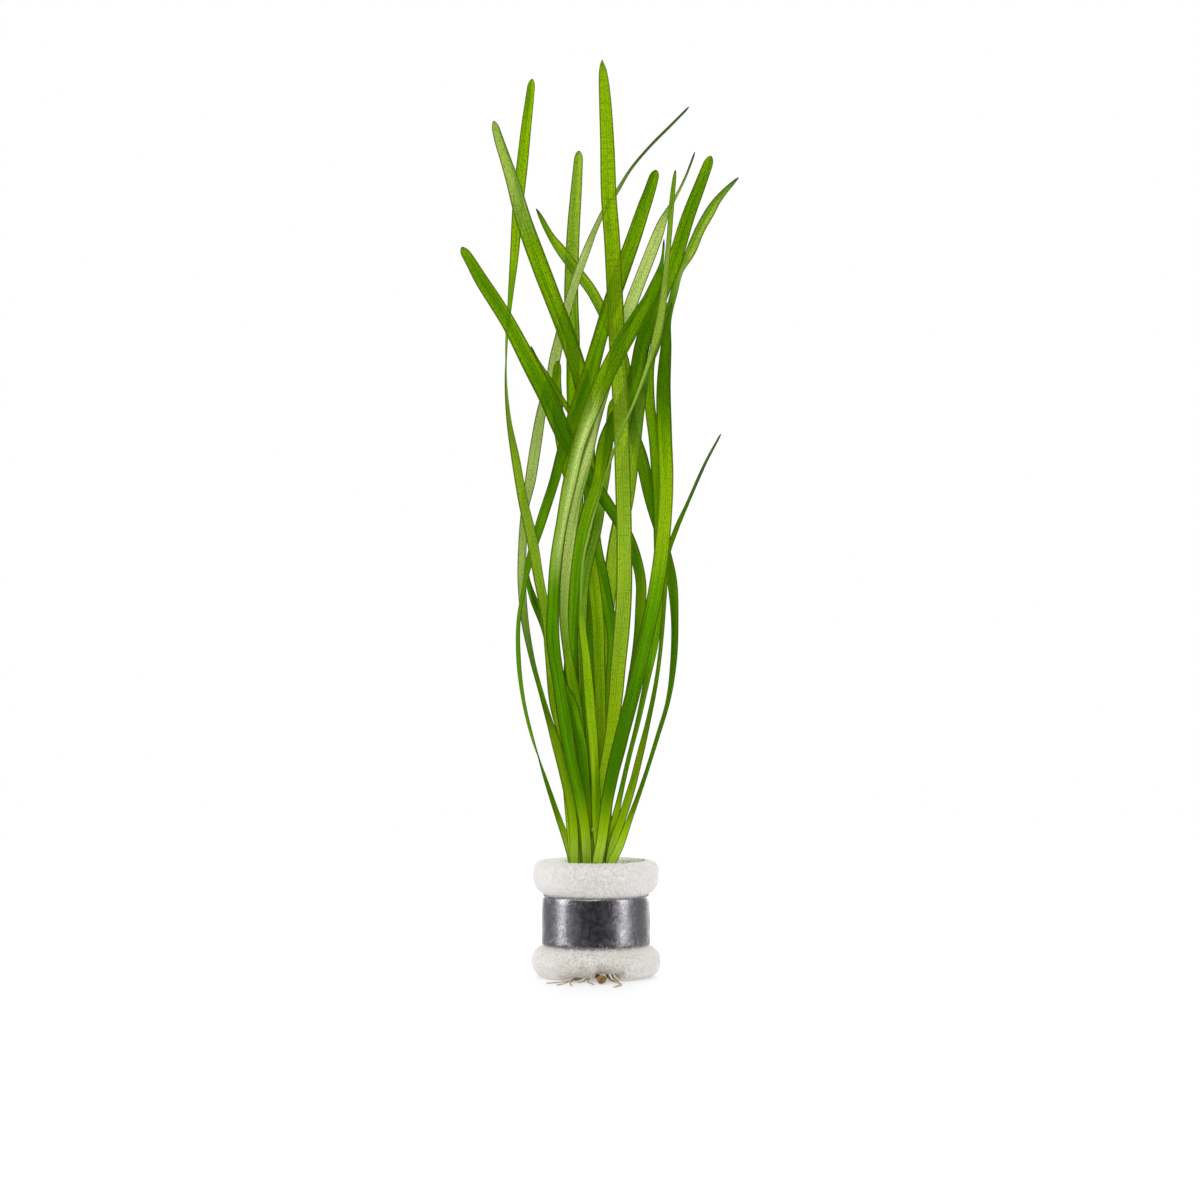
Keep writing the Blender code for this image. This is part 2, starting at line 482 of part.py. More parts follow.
def hole_move(point):
    """Moves the inner wall off centre, more so at the top, where the foam is rolled loosely."""
    radius = math.hypot(point.x, point.y)
    share = eased((HOLE_EDGE + HOLE_FADE - radius) / HOLE_FADE)
    rise = eased((point.z - HOLE_SHIFT_START) / (HOLE_SHIFT_END - HOLE_SHIFT_START))
    shift = HOLE_SHIFT_LOW + (HOLE_SHIFT_TOP - HOLE_SHIFT_LOW) * rise
    return Vector((
        share * (shift + point.x * (HOLE_STRETCH_X - 1.0)),
        share * (HOLE_SHIFT_Y + point.y * (HOLE_STRETCH_Y - 1.0)),
        0.0,
    ))


def arch_lift(point):
    angle = math.degrees(math.atan2(point.y, point.x))
    lift = 0.0
    for centre, half_width, height in ARCHES:
        off = abs(angle - centre) / half_width
        lift = max(lift, height * (1.0 - eased((off - ARCH_FLAT_SHARE) / (1.0 - ARCH_FLAT_SHARE))))
    return lift * (1.0 - eased(point.z / ARCH_FADE_HEIGHT))


def add_foam_collar(material, collection):
    obj = turned_ring("foam_collar", COLLAR_PROFILE, COLLAR_STEPS, material, collection)
    for vert in obj.data.vertices:
        place = vert.co.copy()
        vert.co = place + hole_move(place)
        vert.co.z += arch_lift(place)
        vert.co.x += COLLAR_AXIS_X
    return obj


def add_lead_band(material, collection):
    """A strip bent round the foam, its outer end lapped over its inner end at the back."""
    shape = bmesh.new()
    bmesh.ops.create_grid(shape, x_segments=BAND_STEPS, y_segments=1, size=1.0)
    sweep = 2.0 * math.pi + BAND_LAP
    for vert in shape.verts:
        share = 0.5 + 0.5 * vert.co.x
        turned = share * sweep
        rise = BAND_LAP_RISE * eased((turned - BAND_RISE_START) / (BAND_RISE_END - BAND_RISE_START))
        angle = BAND_START + turned
        radius = BAND_RADIUS + rise
        height = BAND_TOP if vert.co.y > 0.0 else BAND_BOTTOM
        vert.co = Vector((
            COLLAR_AXIS_X + radius * math.cos(angle),
            radius * math.sin(angle),
            height,
        ))
    mesh = bpy.data.meshes.new("lead_band")
    shape.to_mesh(mesh)
    shape.free()
    obj = add_object("lead_band", mesh, material, collection)
    solidify = obj.modifiers.new("Thickness", "SOLIDIFY")
    solidify.thickness = BAND_THICKNESS
    solidify.offset = 0.0
    return obj


def add_crown(name, crown, material, collection):
    x, y, half_width, half_depth = crown
    shape = bmesh.new()
    bmesh.ops.create_cube(shape, size=2.0)
    for vert in shape.verts:
        vert.co.x = x + vert.co.x * half_width
        vert.co.y = y + vert.co.y * half_depth
        vert.co.z = CROWN_TOP if vert.co.z > 0.0 else CROWN_BOTTOM
    mesh = bpy.data.meshes.new(name)
    shape.to_mesh(mesh)
    shape.free()
    obj = add_object(name, mesh, material, collection)
    bevel = obj.modifiers.new("Rounding", "BEVEL")
    bevel.width = CROWN_ROUNDING
    bevel.segments = CROWN_SEGMENTS
    return obj


def add_tube(name, points, radii, material, collection):
    curve = bpy.data.curves.new(name, "CURVE")
    curve.dimensions = "3D"
    curve.bevel_depth = 1.0
    curve.bevel_resolution = TUBE_ROUNDNESS
    curve.use_fill_caps = True
    spline = curve.splines.new("POLY")
    spline.points.add(len(points) - 1)
    for target, point, radius in zip(spline.points, points, radii):
        target.co = (*point, 1.0)
        target.radius = radius
    obj = bpy.data.objects.new(name, curve)
    curve.materials.append(material)
    collection.objects.link(obj)
    return obj


def smooth_route(route, steps):
    """A smooth line through a route given in mm, with this many steps between its points."""
    points = [tuple(value * MM for value in point) for point in route]
    along = distances_along(points)
    rows = [(distance, *point) for distance, point in zip(along, points)]
    count = (len(points) - 1) * steps + 1
    at = np.interp(np.linspace(0, len(points) - 1, count), range(len(points)), along)
    return smooth_through(rows, at)


def add_root(name, root, material, collection):
    thick, thin, route = root
    points = smooth_route(route, ROOT_STEPS)
    radii = np.linspace(thick, thin, len(points))
    return add_tube(name, points, radii, material, collection)


def add_runner(material, collection):
    points = smooth_route(RUNNER_ROUTE, RUNNER_STEPS)
    places = np.linspace(0, len(RUNNER_KNOBS) - 1, len(points))
    knobs = np.interp(places, range(len(RUNNER_KNOBS)), RUNNER_KNOBS)
    return add_tube("runner_stub", points, knobs * RUNNER_RADIUS, material, collection)


def build():
    clear_scene()
    collection = new_collection("vallisneria")
    materials = {name: plain_material(name) for name in MATERIALS}
    for name, leaf in LEAVES.items():
        add_leaf(name, leaf, materials["leaf_green"], collection)
    for name, crown in CROWNS.items():
        add_crown(name, crown, materials["crown_pale"], collection)
    for name, root in ROOTS.items():
        add_root(name, root, materials["root_beige"], collection)
    add_runner(materials["runner_brown"], collection)
    add_foam_collar(materials["foam_white"], collection)
    add_lead_band(materials["lead_grey"], collection)


build()
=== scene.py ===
"""Looks of the vallisneria bunch: fine leaf blades, foam, lead and roots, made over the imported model.

Metres, +Z up, in the row frame. The bunch stands on its collar, and its front faces -Y.
"""

import math

import bmesh
import bpy
import numpy as np
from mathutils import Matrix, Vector, noise


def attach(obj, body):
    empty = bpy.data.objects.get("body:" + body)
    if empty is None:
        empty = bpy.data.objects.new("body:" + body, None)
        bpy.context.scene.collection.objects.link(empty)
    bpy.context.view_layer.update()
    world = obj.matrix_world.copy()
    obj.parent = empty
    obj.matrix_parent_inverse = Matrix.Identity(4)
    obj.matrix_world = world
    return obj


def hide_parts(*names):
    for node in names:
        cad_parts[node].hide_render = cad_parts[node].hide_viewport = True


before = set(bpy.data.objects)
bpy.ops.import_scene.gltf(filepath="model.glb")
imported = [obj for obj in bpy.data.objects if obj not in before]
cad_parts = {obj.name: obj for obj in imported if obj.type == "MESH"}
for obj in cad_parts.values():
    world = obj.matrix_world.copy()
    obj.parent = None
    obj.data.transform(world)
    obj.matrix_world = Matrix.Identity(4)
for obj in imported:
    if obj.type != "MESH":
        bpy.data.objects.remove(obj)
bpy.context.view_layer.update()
BODY = "root"

MM = 0.001

# The camera stands level at the photograph's distance, and sees 300 mm across.
PHOTO_PIXEL = 0.25 * MM
PHOTO_CENTRE = 600.0
CAMERA_DISTANCE = 0.83
CAMERA_HEIGHT = 94.0 * MM
VIEW_WIDTH = 0.3
SENSOR_MM = 36.0

# Leaves
LEAF_THICKNESS = 0.30 * MM
MARGIN_SHARE = 0.45
LEAF_STATION_GAP = 1.6 * MM
LEAF_CHANNEL = 0.05
ACROSS = 10
TIP_ROUNDING = 2.4 * MM
TIP_END_SHARE = 0.15
TIP_SHARE = 0.55
TIP_THICK_SHARE = 0.4
TIP_TAPER = 18.0 * MM
TIP_ROWS = 8
BASE_TAPER = 75.0 * MM
RIPPLE = 0.05 * MM
RIPPLE_LENGTH = 9.0 * MM
RIPPLE_SEED_STEP = 7.7
RIPPLE_MARGINS = (0.0, 3.5)
VEIN_COUNT = 7
# How softly the painted sheen fades at the ends of its stretch
SHEEN_FADE = 0.5
GATHER_CENTRE = Vector((-2.2 * MM, -1.3 * MM))
GATHER_SQUEEZE = 0.85
GATHER_STEPS = ((22.0 * MM, 0.5), (14.3 * MM, 1.0))

# How far seeds and pieces lie apart in the noises
SEED_STEP = 11.0
NOISE_STEPS = (17.3, 5.1, 9.7)
CELL_STEPS = (3.3, 8.1, 1.7)

# Leaves whose painted sheen is a stripe: its middle from the leaf's centre line, and its reach
SHEEN_STRIPES = {"leaf_05": (-0.30, 0.75)}

# Each leaf: its full width and its width at the base in mm, and its way of turning. Then how yellow it is,
# how strong its pale painted sheen is, the middle and half length of that sheen in mm from the tip, the
# length of its dark tip in mm, and how strong its cross lines are. Last its route from tip to collar: a
# pixel across, a pixel down, the depth in mm (away from the camera is plus), and the width that shows there
# in pixels, minus where the back of the leaf is seen.
LEAVES = {
    "leaf_01": ((4.2, 2.4, 1), (1.10, 0.12, 112.0, 52.0, 0.4, 1.00), (
        (602.3, 60, 2, 3), (603, 72, 1.5, 8), (605, 100, 0, 12), (607, 140, -2, 14), (609, 200, -3.5, 16),
        (612, 240, -5, 16), (614, 280, -6.5, 16), (617, 340, -8.6, 16.5), (620, 400, -9, 15.5),
        (622.7, 480, -9.3, 15.5), (624, 540, -9.3, 15.5), (623.5, 600, -8.5, 16), (620.5, 640, -8, 16),
        (618.5, 660, -7.5, 15.5), (615, 700, -7, 14.5), (610, 740, -6.5, 12.5), (602.5, 780, -5.8, 11),
        (597.5, 820, -4.4, 10), (598, 862, -3.2, 10),
    )),
    "leaf_02": ((3.3, 2.2, -1), (0.90, 0.12, 108.0, 50.0, 0.5, 0.25), (
        (532, 79, 13, 7.5), (529.5, 100, 11, 9), (527, 120, 9.5, 11), (522.7, 160, 6.5, 12.5),
        (518.5, 200, 4, 11), (514.2, 260, 2, 8.5), (510.5, 300, 1, 5), (506.5, 345, -0.5, 2),
        (506, 380, -2, -1), (509.2, 420, -3.5, -4.5), (516, 460, -5, -8), (523, 500, -6.5, -9),
        (532.2, 540, -8, -10.5), (539.2, 580, -9.2, -9.5), (547, 620, -9.5, -9.5), (551, 660, -10.7, -10.5),
        (554, 700, -10.8, -9.5), (563.5, 740, -6.7, -10), (569, 800, -4.4, -10), (573.5, 862, -2.2, -10),
    )),
    "leaf_03": ((4.6, 2.4, 1), (0.66, 0.44, 0.0, 34.0, 0.3, 0.10), (
        (493.5, 121, -9, 7), (498.8, 140, -8, 9.3), (505.5, 160, -7, 11), (512, 180, -6, 13),
        (523.5, 220, -4.6, 16), (538, 260, -3.4, 17.5), (553.2, 300, -2.6, 17), (568.5, 340, -2.2, 17),
        (582, 385, -1.8, 16), (586, 430, -1, 15), (589, 480, 0.8, 14), (592, 520, 2.2, 13),
        (594, 540, 2.4, 13), (602, 580, 1.4, 13), (606, 600, 0.6, 12), (610, 620, -0.4, 11),
        (613, 640, -1.2, 12), (612, 680, -1.6, 14), (608, 740, -1.7, 14), (603, 800, -1.4, 11),
        (597, 862, -1.2, 10),
    )),
    "leaf_04": ((4.7, 2.2, -1), (0.68, 0.00, 0.0, 1.0, 0.5, 0.15), (
        (462, 247, -19, 9), (470, 260, -17.5, 10), (481.5, 280, -15, 13), (494.5, 300, -12.5, 14),
        (507, 320, -10.5, 14), (528.2, 360, -8.6, 16.3), (549, 400, -8.5, 18.5), (567, 440, -9, 16),
        (580, 460, -7.4, 14), (597, 487, -4.9, 12), (612, 510, -4.2, 11), (626, 532, -3.8, 11),
        (637, 560, -2.8, 10), (641.5, 585, -2, 10), (641, 605, -1.8, 10), (638.5, 640, -2, 9),
        (632, 690, -2.4, 11), (622, 740, -1.5, 12), (612, 780, 0.1, 11), (607, 810, 0.2, 10),
        (608.5, 862, 0.4, 10),
    )),
    "leaf_05": ((4.6, 2.3, 1), (0.60, 0.95, 66.0, 27.0, 3.0, 0.30), (
        (664, 239, -13, 1.5), (662, 260, -12.5, 3), (656, 285, -12.4, 12), (650, 300, -12.5, 17),
        (640, 315, -12.8, 18), (622, 345, -14, 17.5), (606, 375, -15.5, 16.5), (593, 405, -16.6, 16.5),
        (580, 440, -17.4, 13), (570, 480, -18, 13.5), (562, 520, -18, 11), (555.7, 560, -17.6, 11.5),
        (553, 600, -17, 11.5), (552.5, 640, -16, 13), (558, 680, -14.7, 12), (564.5, 720, -13.2, 13.5),
        (571, 760, -11.4, 12), (580, 800, -9, 11.5), (585, 830, -6.6, 10.5), (587, 862, -4.2, 10),
    )),
    "leaf_06": ((4.4, 2.1, -1), (0.50, 0.00, 0.0, 1.0, 0.5, 0.45), (
        (656, 170, 7, 10), (650, 190, 5, 11.5), (643, 210, 3, 14), (633, 240, 0.6, 16.5),
        (624, 265, -0.8, 16.5), (612, 300, -1.8, 15.5), (599.5, 340, -3, 14.5), (588, 380, -4.4, 16.5),
        (577, 410, -4.5, 15), (563, 450, -4.2, 11), (555, 480, -4, 10), (542, 520, -3.4, 10),
        (530, 560, -2.8, 7), (524, 590, -2, 4), (519, 620, -1.8, 4), (519, 660, -2, 4.5),
        (523.7, 700, -2.4, 3.5), (533.2, 740, -2.6, 2.5), (546, 780, -2.4, -3), (559.5, 820, -1.9, -5.5),
        (566.5, 840, -1.6, -7), (573, 862, -1.1, -9),
    )),
    "leaf_07": ((4.1, 2.2, 1), (0.62, 0.00, 0.0, 1.0, 0.4, 0.35), (
        (711, 156, -4, 10), (702, 180, -4, 12.5), (687, 220, -4.2, 14), (678, 250, -4.8, 15),
        (669, 280, -5.6, 10), (655, 310, -6.4, 14), (643.5, 340, -6.8, 15), (634.5, 380, -6.2, 15),
        (620.5, 410, -6.4, 15), (606, 440, -7.6, 14.5), (598, 480, -8.9, 12.5), (585.5, 520, -9.6, 13),
        (577.7, 560, -10, 12.5), (574.2, 600, -9, 11.5), (572, 640, -6.8, 11), (570.5, 670, -4.9, 14),
        (572, 700, -4.1, 14.5), (577, 750, -4.4, 13), (581, 800, -3.2, 11), (584.5, 862, -1.2, 10),
    )),
    "leaf_08": ((4.4, 2.3, -1), (0.75, 0.10, 30.0, 60.0, 0.3, 0.30), (
        (671.5, 303, -9.6, 10), (666, 310, -9.2, 11), (662, 320, -9, 10.5), (657, 340, -8.7, 10),
        (652, 360, -6, 4), (646, 380, -3, -5), (640.5, 400, -2.4, -11), (636, 430, -1.6, -13),
        (631, 460, -0.8, -16.5), (625.5, 500, 1, -16.5), (617, 540, 3.6, -16), (613.5, 560, 4.9, -15),
        (609, 600, 5.2, -13), (606.5, 640, 4.8, -12), (607, 680, 4.2, -12), (605, 740, 3.2, -12),
        (600, 815, 2.4, -10.5), (593, 862, 1.2, -10),
    )),
    "leaf_09": ((3.3, 2.2, 1), (0.60, 0.92, 68.0, 72.0, 11.0, 0.15), (
        (695, 152, 8, 1.5), (685, 178, 6, 1.5), (676, 196, 4, 2), (668, 210, 2, 4), (663.2, 220, 1, 7.5),
        (655.7, 240, -1, 11.5), (648, 260, -2.6, 13), (640.2, 280, -3.8, 13), (632.5, 300, -4.6, 13),
        (618, 345, -5.4, 11), (604, 395, -6.4, 7), (595, 430, -9, 6), (586.7, 460, -11, 10),
        (576.2, 500, -13.2, 10), (569.5, 540, -14, 11), (565, 580, -13.4, 10), (563.7, 620, -11.4, 8.5),
        (568, 660, -8.4, 8.5), (571.5, 680, -6.2, 11), (575.5, 700, -6, 11), (580, 730, -6.1, 10),
        (584, 770, -5.8, 10), (586.5, 810, -4.6, 10), (585.5, 862, -2.2, 10),
    )),
    "leaf_10": ((2.9, 2.2, -1), (0.80, 0.38, 60.0, 60.0, 1.0, 0.10), (
        (675.5, 170, -21, 3), (672.2, 200, -19.5, 4.5), (669.2, 240, -18, 4.5), (665.5, 280, -17, 6),
        (663.5, 300, -16.8, 7), (656, 340, -16.4, 8), (650, 360, -16.2, 5), (635.5, 400, -16.6, 3),
        (620, 435, -17, 2), (606, 475, -17.4, 2), (592, 520, -17.2, -2), (583, 560, -16.6, -3),
        (581, 600, -15.4, -4), (581.7, 620, -14.6, -6.5), (586, 660, -12.8, -8.5),
        (589.5, 700, -11.2, -10.5), (593, 740, -9.8, -10), (595.5, 780, -8.3, -9), (596.5, 820, -6.7, -9.5),
        (599, 862, -4.2, -10),
    )),
    "leaf_11": ((3.1, 2.1, 1), (0.50, 1.00, 95.0, 75.0, 38.0, 0.10), (
        (689, 107, 25, 1.2), (670, 126, 21, 1.2), (650, 146, 16.5, 1.2), (630, 170, 11, 1.5),
        (617, 191, 7.5, 3), (603, 212, 6, 4), (594.5, 230, 5.4, 5), (586.5, 250, 5.4, 7),
        (579, 270, 5.6, 8), (569.5, 300, 6.2, 9), (559, 340, 7, 10), (554.5, 360, 7.4, 11),
        (551.5, 380, 7.6, 11.5), (541.7, 410, 7.2, 9.5), (536.5, 440, 6.6, 11), (530.2, 480, 5.6, 10.5),
        (524.5, 510, 4.8, 7), (522.5, 540, 4.2, 8), (521.5, 580, 3.2, 8), (524.5, 620, 1.4, 7),
        (532, 660, -2.8, 4.5), (543, 700, -9, 4.5), (549.5, 722, -11.3, 6), (558, 750, -11, 9.5),
        (565.5, 780, -9.4, 9.5), (571.5, 810, -7.2, 9.5), (574, 835, -4.9, 10), (574.3, 862, -3.1, 10),
    )),
    "leaf_12": ((3.8, 2.2, -1), (0.60, 0.22, 0.0, 60.0, 0.4, 0.60), (
        (579, 151, 19, 10), (577.7, 170, 17.4, 10.5), (575.5, 200, 15.4, 12), (574, 220, 14.4, 13),
        (572, 260, 13, 14), (571.2, 300, 12.2, 14.5), (573, 340, 11.8, 14), (573, 400, 11.2, 12),
        (577, 480, 10.4, 11), (582, 560, 9.6, 10), (585, 640, 8.4, 9), (586, 720, 6.8, 9),
        (588, 800, 4.6, 10), (586, 862, 2.6, 10),
    )),
    "leaf_13": ((3.6, 2.2, 1), (0.82, 0.00, 0.0, 1.0, 0.5, 0.60), (
        (558, 361, 4.4, 8), (556.5, 380, 4.2, 9), (557.5, 400, 4, 10), (559, 430, 3.8, 10),
        (567, 470, 2.4, 11), (576, 500, -0.9, 12), (586, 540, -1.6, 13.5), (590, 560, -1.5, 13),
        (594.5, 590, -2.3, 13), (597.5, 620, -3.8, 13), (598.7, 660, -4.5, 12.5), (600, 700, -4.4, 11.5),
        (600.5, 740, -4.1, 11), (600, 800, -3.2, 10), (597.5, 862, -2.2, 10),
    )),
    "leaf_14": ((3.3, 2.0, -1), (0.30, 0.10, 30.0, 20.0, 5.0, 0.20), (
        (536, 209, 23, 1.5), (542.2, 220, 20, 4.5), (547.5, 230, 17, 5.5), (553.5, 240, 14, 7),
        (561, 250, 11.4, 10), (576, 270, 9.4, 10.5), (591.2, 290, 8.8, 10.5), (602, 310, 9, 10),
        (612, 332, 9.4, 9), (623, 355, 9.6, 9), (629, 390, 9, 8), (633.5, 430, 8.6, 9), (642, 460, 8.4, 13),
        (651, 500, 8.2, 12), (664, 545, 8.4, 10), (672, 580, 8.6, 10), (675, 620, 8.2, 7),
        (674, 660, 6.8, 6), (668.5, 700, 5, 4), (656.7, 740, 3, 3.5), (644, 780, 0.2, 3.5),
        (629.5, 820, -4, 5.5), (619, 848, -4.9, 8), (610.5, 866, -3.7, 9),
    )),
    "leaf_15": ((3.8, 2.7, 1), (0.40, 0.26, 22.0, 22.0, 6.0, 0.45), (
        (738.5, 178, 16, 1.2), (727, 189, 12.5, 4.5), (717.5, 200, 10, 7), (711, 210, 8, 9.5),
        (699.5, 230, 5, 9.5), (691, 250, 2.8, 10), (681, 270, 1.2, 4.5), (674.5, 290, 0.2, 6.5),
        (667.5, 320, -1, 7), (666, 345, -2.6, 10.5), (663.7, 380, -5, 13.6), (664.6, 440, -8.2, 15.1),
        (666, 480, -9.6, 14.5), (663.5, 530, -11, 14.5), (660.5, 560, -12, 15), (654, 600, -12.8, 15),
        (645, 640, -12.8, 14.8), (636, 680, -12.4, 14.5), (626, 720, -11.8, 14.2),
        (615.5, 760, -10.6, 13.5), (607.2, 800, -9, 12), (601.5, 840, -6.4, 11), (597, 866, -5.2, 11),
    )),
    "leaf_16": ((2.6, 2.0, -1), (0.45, 0.00, 90.0, 40.0, 26.0, 0.10), (
        (721, 434, -12, 1.2), (715, 445, -9.6, 1.5), (707, 460, -6, 2), (700, 475, -2.6, 2.5),
        (687, 505, 1.6, 3), (676, 530, 4, 4.5), (669, 550, 4.8, 4.5), (664, 600, 4.9, 5),
        (661.7, 640, 4.4, 3.5), (656.7, 680, 3.4, 3.5), (648.7, 720, 1.8, 4.5), (639, 760, -0.4, 6.5),
        (634, 780, -1.4, 7), (628, 800, -1.9, 8), (621.5, 820, -2, 8), (614, 840, -2.2, 8.5),
        (609, 864, -2.2, 9),
    )),
    "leaf_17": ((3.2, 2.0, 1), (0.35, 0.00, 0.0, 1.0, 0.5, 0.25), (
        (655, 343, 2.4, 6), (650, 370, 2.8, 8), (649.7, 400, 3.1, 12.3), (653.8, 440, 3.3, 10.2),
        (656, 480, 3.2, 9), (658, 540, 2.8, 9), (658.5, 590, 2.2, 9), (654, 640, 1.6, 9.5),
        (646.5, 680, 0.9, 6.5), (638, 720, 0.1, 5), (628, 760, -0.8, 4.5), (619, 800, -1.2, 5.5),
        (612, 835, -1.1, 8.5), (609, 864, -1, 9),
    )),
    "leaf_18": ((2.4, 1.9, -1), (0.25, 0.00, 0.0, 1.0, 5.0, 0.10), (
        (531, 346, -3, 2), (536, 357, -1.8, 2), (544.5, 370, -0.4, 2), (550.7, 380, 0.4, 3.5),
        (562.5, 400, 1.4, 5), (574.5, 420, 2.2, 4.5), (583, 450, 3.4, 6), (588, 500, 5.4, 8),
        (592, 560, 6.4, 9), (592, 620, 5.8, 9), (591, 700, 4.6, 9), (588, 760, 3.2, 9),
        (582, 800, 2.5, 8.5), (579.8, 830, 1.9, 8.5), (580, 862, 1.2, 8.5),
    )),
    "leaf_19": ((2.9, 2.1, 1), (0.70, 0.10, 40.0, 40.0, 0.4, 0.60), (
        (612.5, 399, -2, 7), (611, 409, -2, 10), (609, 440, -1.6, 10.5), (606, 470, -1, 10.5),
        (601.5, 497, -1, 10.5), (599, 515, -2.2, 10), (595.5, 535, -4, 9.5), (590, 555, -4.8, 9),
        (585, 580, -4.7, 9), (582, 620, -4.2, 10), (583.5, 680, -2.9, 10.5), (585, 740, -1.9, 10.5),
        (586.5, 800, -1.1, 10), (585, 862, -0.2, 10),
    )),
    "leaf_20": ((3.3, 2.2, -1), (0.30, 0.00, 0.0, 1.0, 1.0, 0.20), (
        (524, 562, 7, 5), (529, 585, 5, 5.5), (534, 600, 3.4, 7.5), (541, 615, 1.6, 9.5),
        (545, 625, 0.2, 9.5), (549, 640, -1.6, 9), (553.5, 660, -5.2, 10), (559, 680, -8.5, 11.5),
        (565, 690, -9.0, 10.5), (570.5, 700, -9.5, 10.5), (575.5, 720, -10.6, 11.5), (580.5, 740, -9.8, 11),
        (585, 780, -7.9, 10.5), (587, 820, -5.7, 10), (585.5, 862, -3.2, 10),
    )),
}

# How a leaf turns lighter and yellower, or darker, on its way up, its own tone together with painted shade
# where it lies in shadow and painted light where it is lit: height above the floor in mm, and the shift of
# its tone there
TONE_LIGHT_AND_SHADE = {
    "leaf_01": ((45, 0.10), (60, 0.00), (80, 0.05), (110, 0.25), (130, 0.25), (160, 0.00), (190, -0.15)),
    "leaf_02": ((90, 0.35), (120, 0.60), (140, 0.60), (165, 0.10), (185, 0.00)),
    "leaf_03": ((90, -0.15), (170, 0.10), (188, -0.20)),
    "leaf_04": ((80, 0.35), (98, 0.30), (108, -0.25), (125, -0.50), (150, -0.25), (168, 0.05)),
    "leaf_05": ((40, -0.40), (60, -0.38), (72, -0.55), (92, -0.30), (110, 0.10), (150, 0.05), (168, -0.40)),
    "leaf_06": ((40, 0.45), (60, 0.20), (80, 0.00), (120, 0.00), (150, 0.15), (180, 0.15), (196, -0.10)),
    "leaf_07": ((90, -0.15), (125, 0.10), (142, -0.15), (152, -0.65), (162, -0.60), (174, 0.00)),
    "leaf_08": ((100, 0.40), (130, 0.10), (140, -0.50)),
    "leaf_09": ((60, 0.10), (100, 0.30), (118, 0.45), (132, 0.10), (150, 0.00)),
    "leaf_10": ((40, -0.15), (65, 0.10), (120, 0.10), (138, 0.35), (170, 0.20)),
    "leaf_11": ((40, 0.30), (60, 0.60), (85, 0.45), (108, 0.45), (139, 0.40), (158, 0.00)),
    "leaf_12": ((60, 0.40), (120, 0.00)),
    "leaf_13": ((50, 0.05), (85, 0.05), (100, 0.15)),
    "leaf_14": ((55, 0.60), (75, 0.45), (88, 0.15), (130, -0.10), (168, 0.40)),
    "leaf_15": ((40, -0.70), (60, -0.45), (86, -0.10), (100, 0.30), (114, 0.75), (126, 0.50),
                (146, -0.35), (160, -0.35), (172, 0.30), (190, 0.35)),
    "leaf_16": ((45, 0.50), (70, 0.55), (90, 0.70), (110, 0.70)),
    "leaf_17": ((40, 0.45), (60, 0.30), (75, 0.12), (140, 0.06)),
    "leaf_18": ((130, 0.10), (148, 0.45)),
    "leaf_20": ((45, -0.30), (70, 0.00)),
}

# The foam collar: its outline as distances from the axis and heights in mm
COLLAR_AXIS_X = -1.0 * MM
COLLAR_PROFILE = (
    (13.6, 28.9), (15.0, 28.5), (15.7, 27.3), (15.8, 25.0), (15.4, 22.8), (14.3, 21.3), (12.9, 20.7),
    (12.9, 7.8), (14.5, 7.2), (15.9, 5.8), (16.2, 3.6), (15.5, 1.3), (13.8, 0.0), (9.6, 0.0),
    (7.9, 1.2), (7.5, 4.0), (7.4, 16.0), (7.9, 22.0), (8.9, 27.0), (10.6, 28.9),
)
HOLE_EDGE = 10.0 * MM
HOLE_FADE = 2.5 * MM
HOLE_SHIFT_TOP = 2.1 * MM
HOLE_SHIFT_LOW = 0.5 * MM
HOLE_STRETCH_X = 1.06
HOLE_STRETCH_Y = 0.82
HOLE_SHIFT_Y = -1.0 * MM
HOLE_SHIFT_START = 16.0 * MM
HOLE_SHIFT_END = 28.0 * MM
ARCHES = ((-110.0, 21.0, 1.0 * MM), (-78.0, 18.0, 1.95 * MM))
ARCH_FLAT_SHARE = 0.6
ARCH_FADE_HEIGHT = 7.0 * MM
FOAM_COLUMNS = 380
FOAM_ROW = 0.33 * MM
FOAM_SWELL = 0.10 * MM
FOAM_SWELL_SIZE = 6.0 * MM
FOAM_ROUNDING_PASSES = 3

# The foam's grains and its pores: size, depth, the height that stays in place, and share in the painted
# shade of a pit
FOAM_CELLS = ((0.60 * MM, 0.36 * MM, 0.6, 0.8), (1.7 * MM, 0.08 * MM, 0.5, 0.2))

# The lead strip
BAND_RADIUS = 13.35 * MM
BAND_THICKNESS = 0.30 * MM
BAND_BOTTOM = 8.1 * MM
BAND_TOP = 20.4 * MM
BAND_STEPS = 360
BAND_ROWS = 28
BAND_START = math.radians(62.0)
BAND_LAP = math.radians(26.0)
BAND_LAP_RISE = 0.65 * MM
BAND_RISE_START = math.radians(308.0)
BAND_RISE_END = math.radians(357.4)
BAND_DENT = 0.06 * MM
BAND_DENT_SIZE = 5.0 * MM
BAND_CREASE = 0.02 * MM
BAND_CREASE_SIZE = 1.4 * MM
BAND_CREASE_STRETCH = (1.0, 0.5, 1.0)
BAND_EDGE = 0.15 * MM
BAND_EDGE_SIZE = 6.0 * MM
BAND_RIM_SHARE = 0.45
BAND_RIM_SLOPE = 8.0

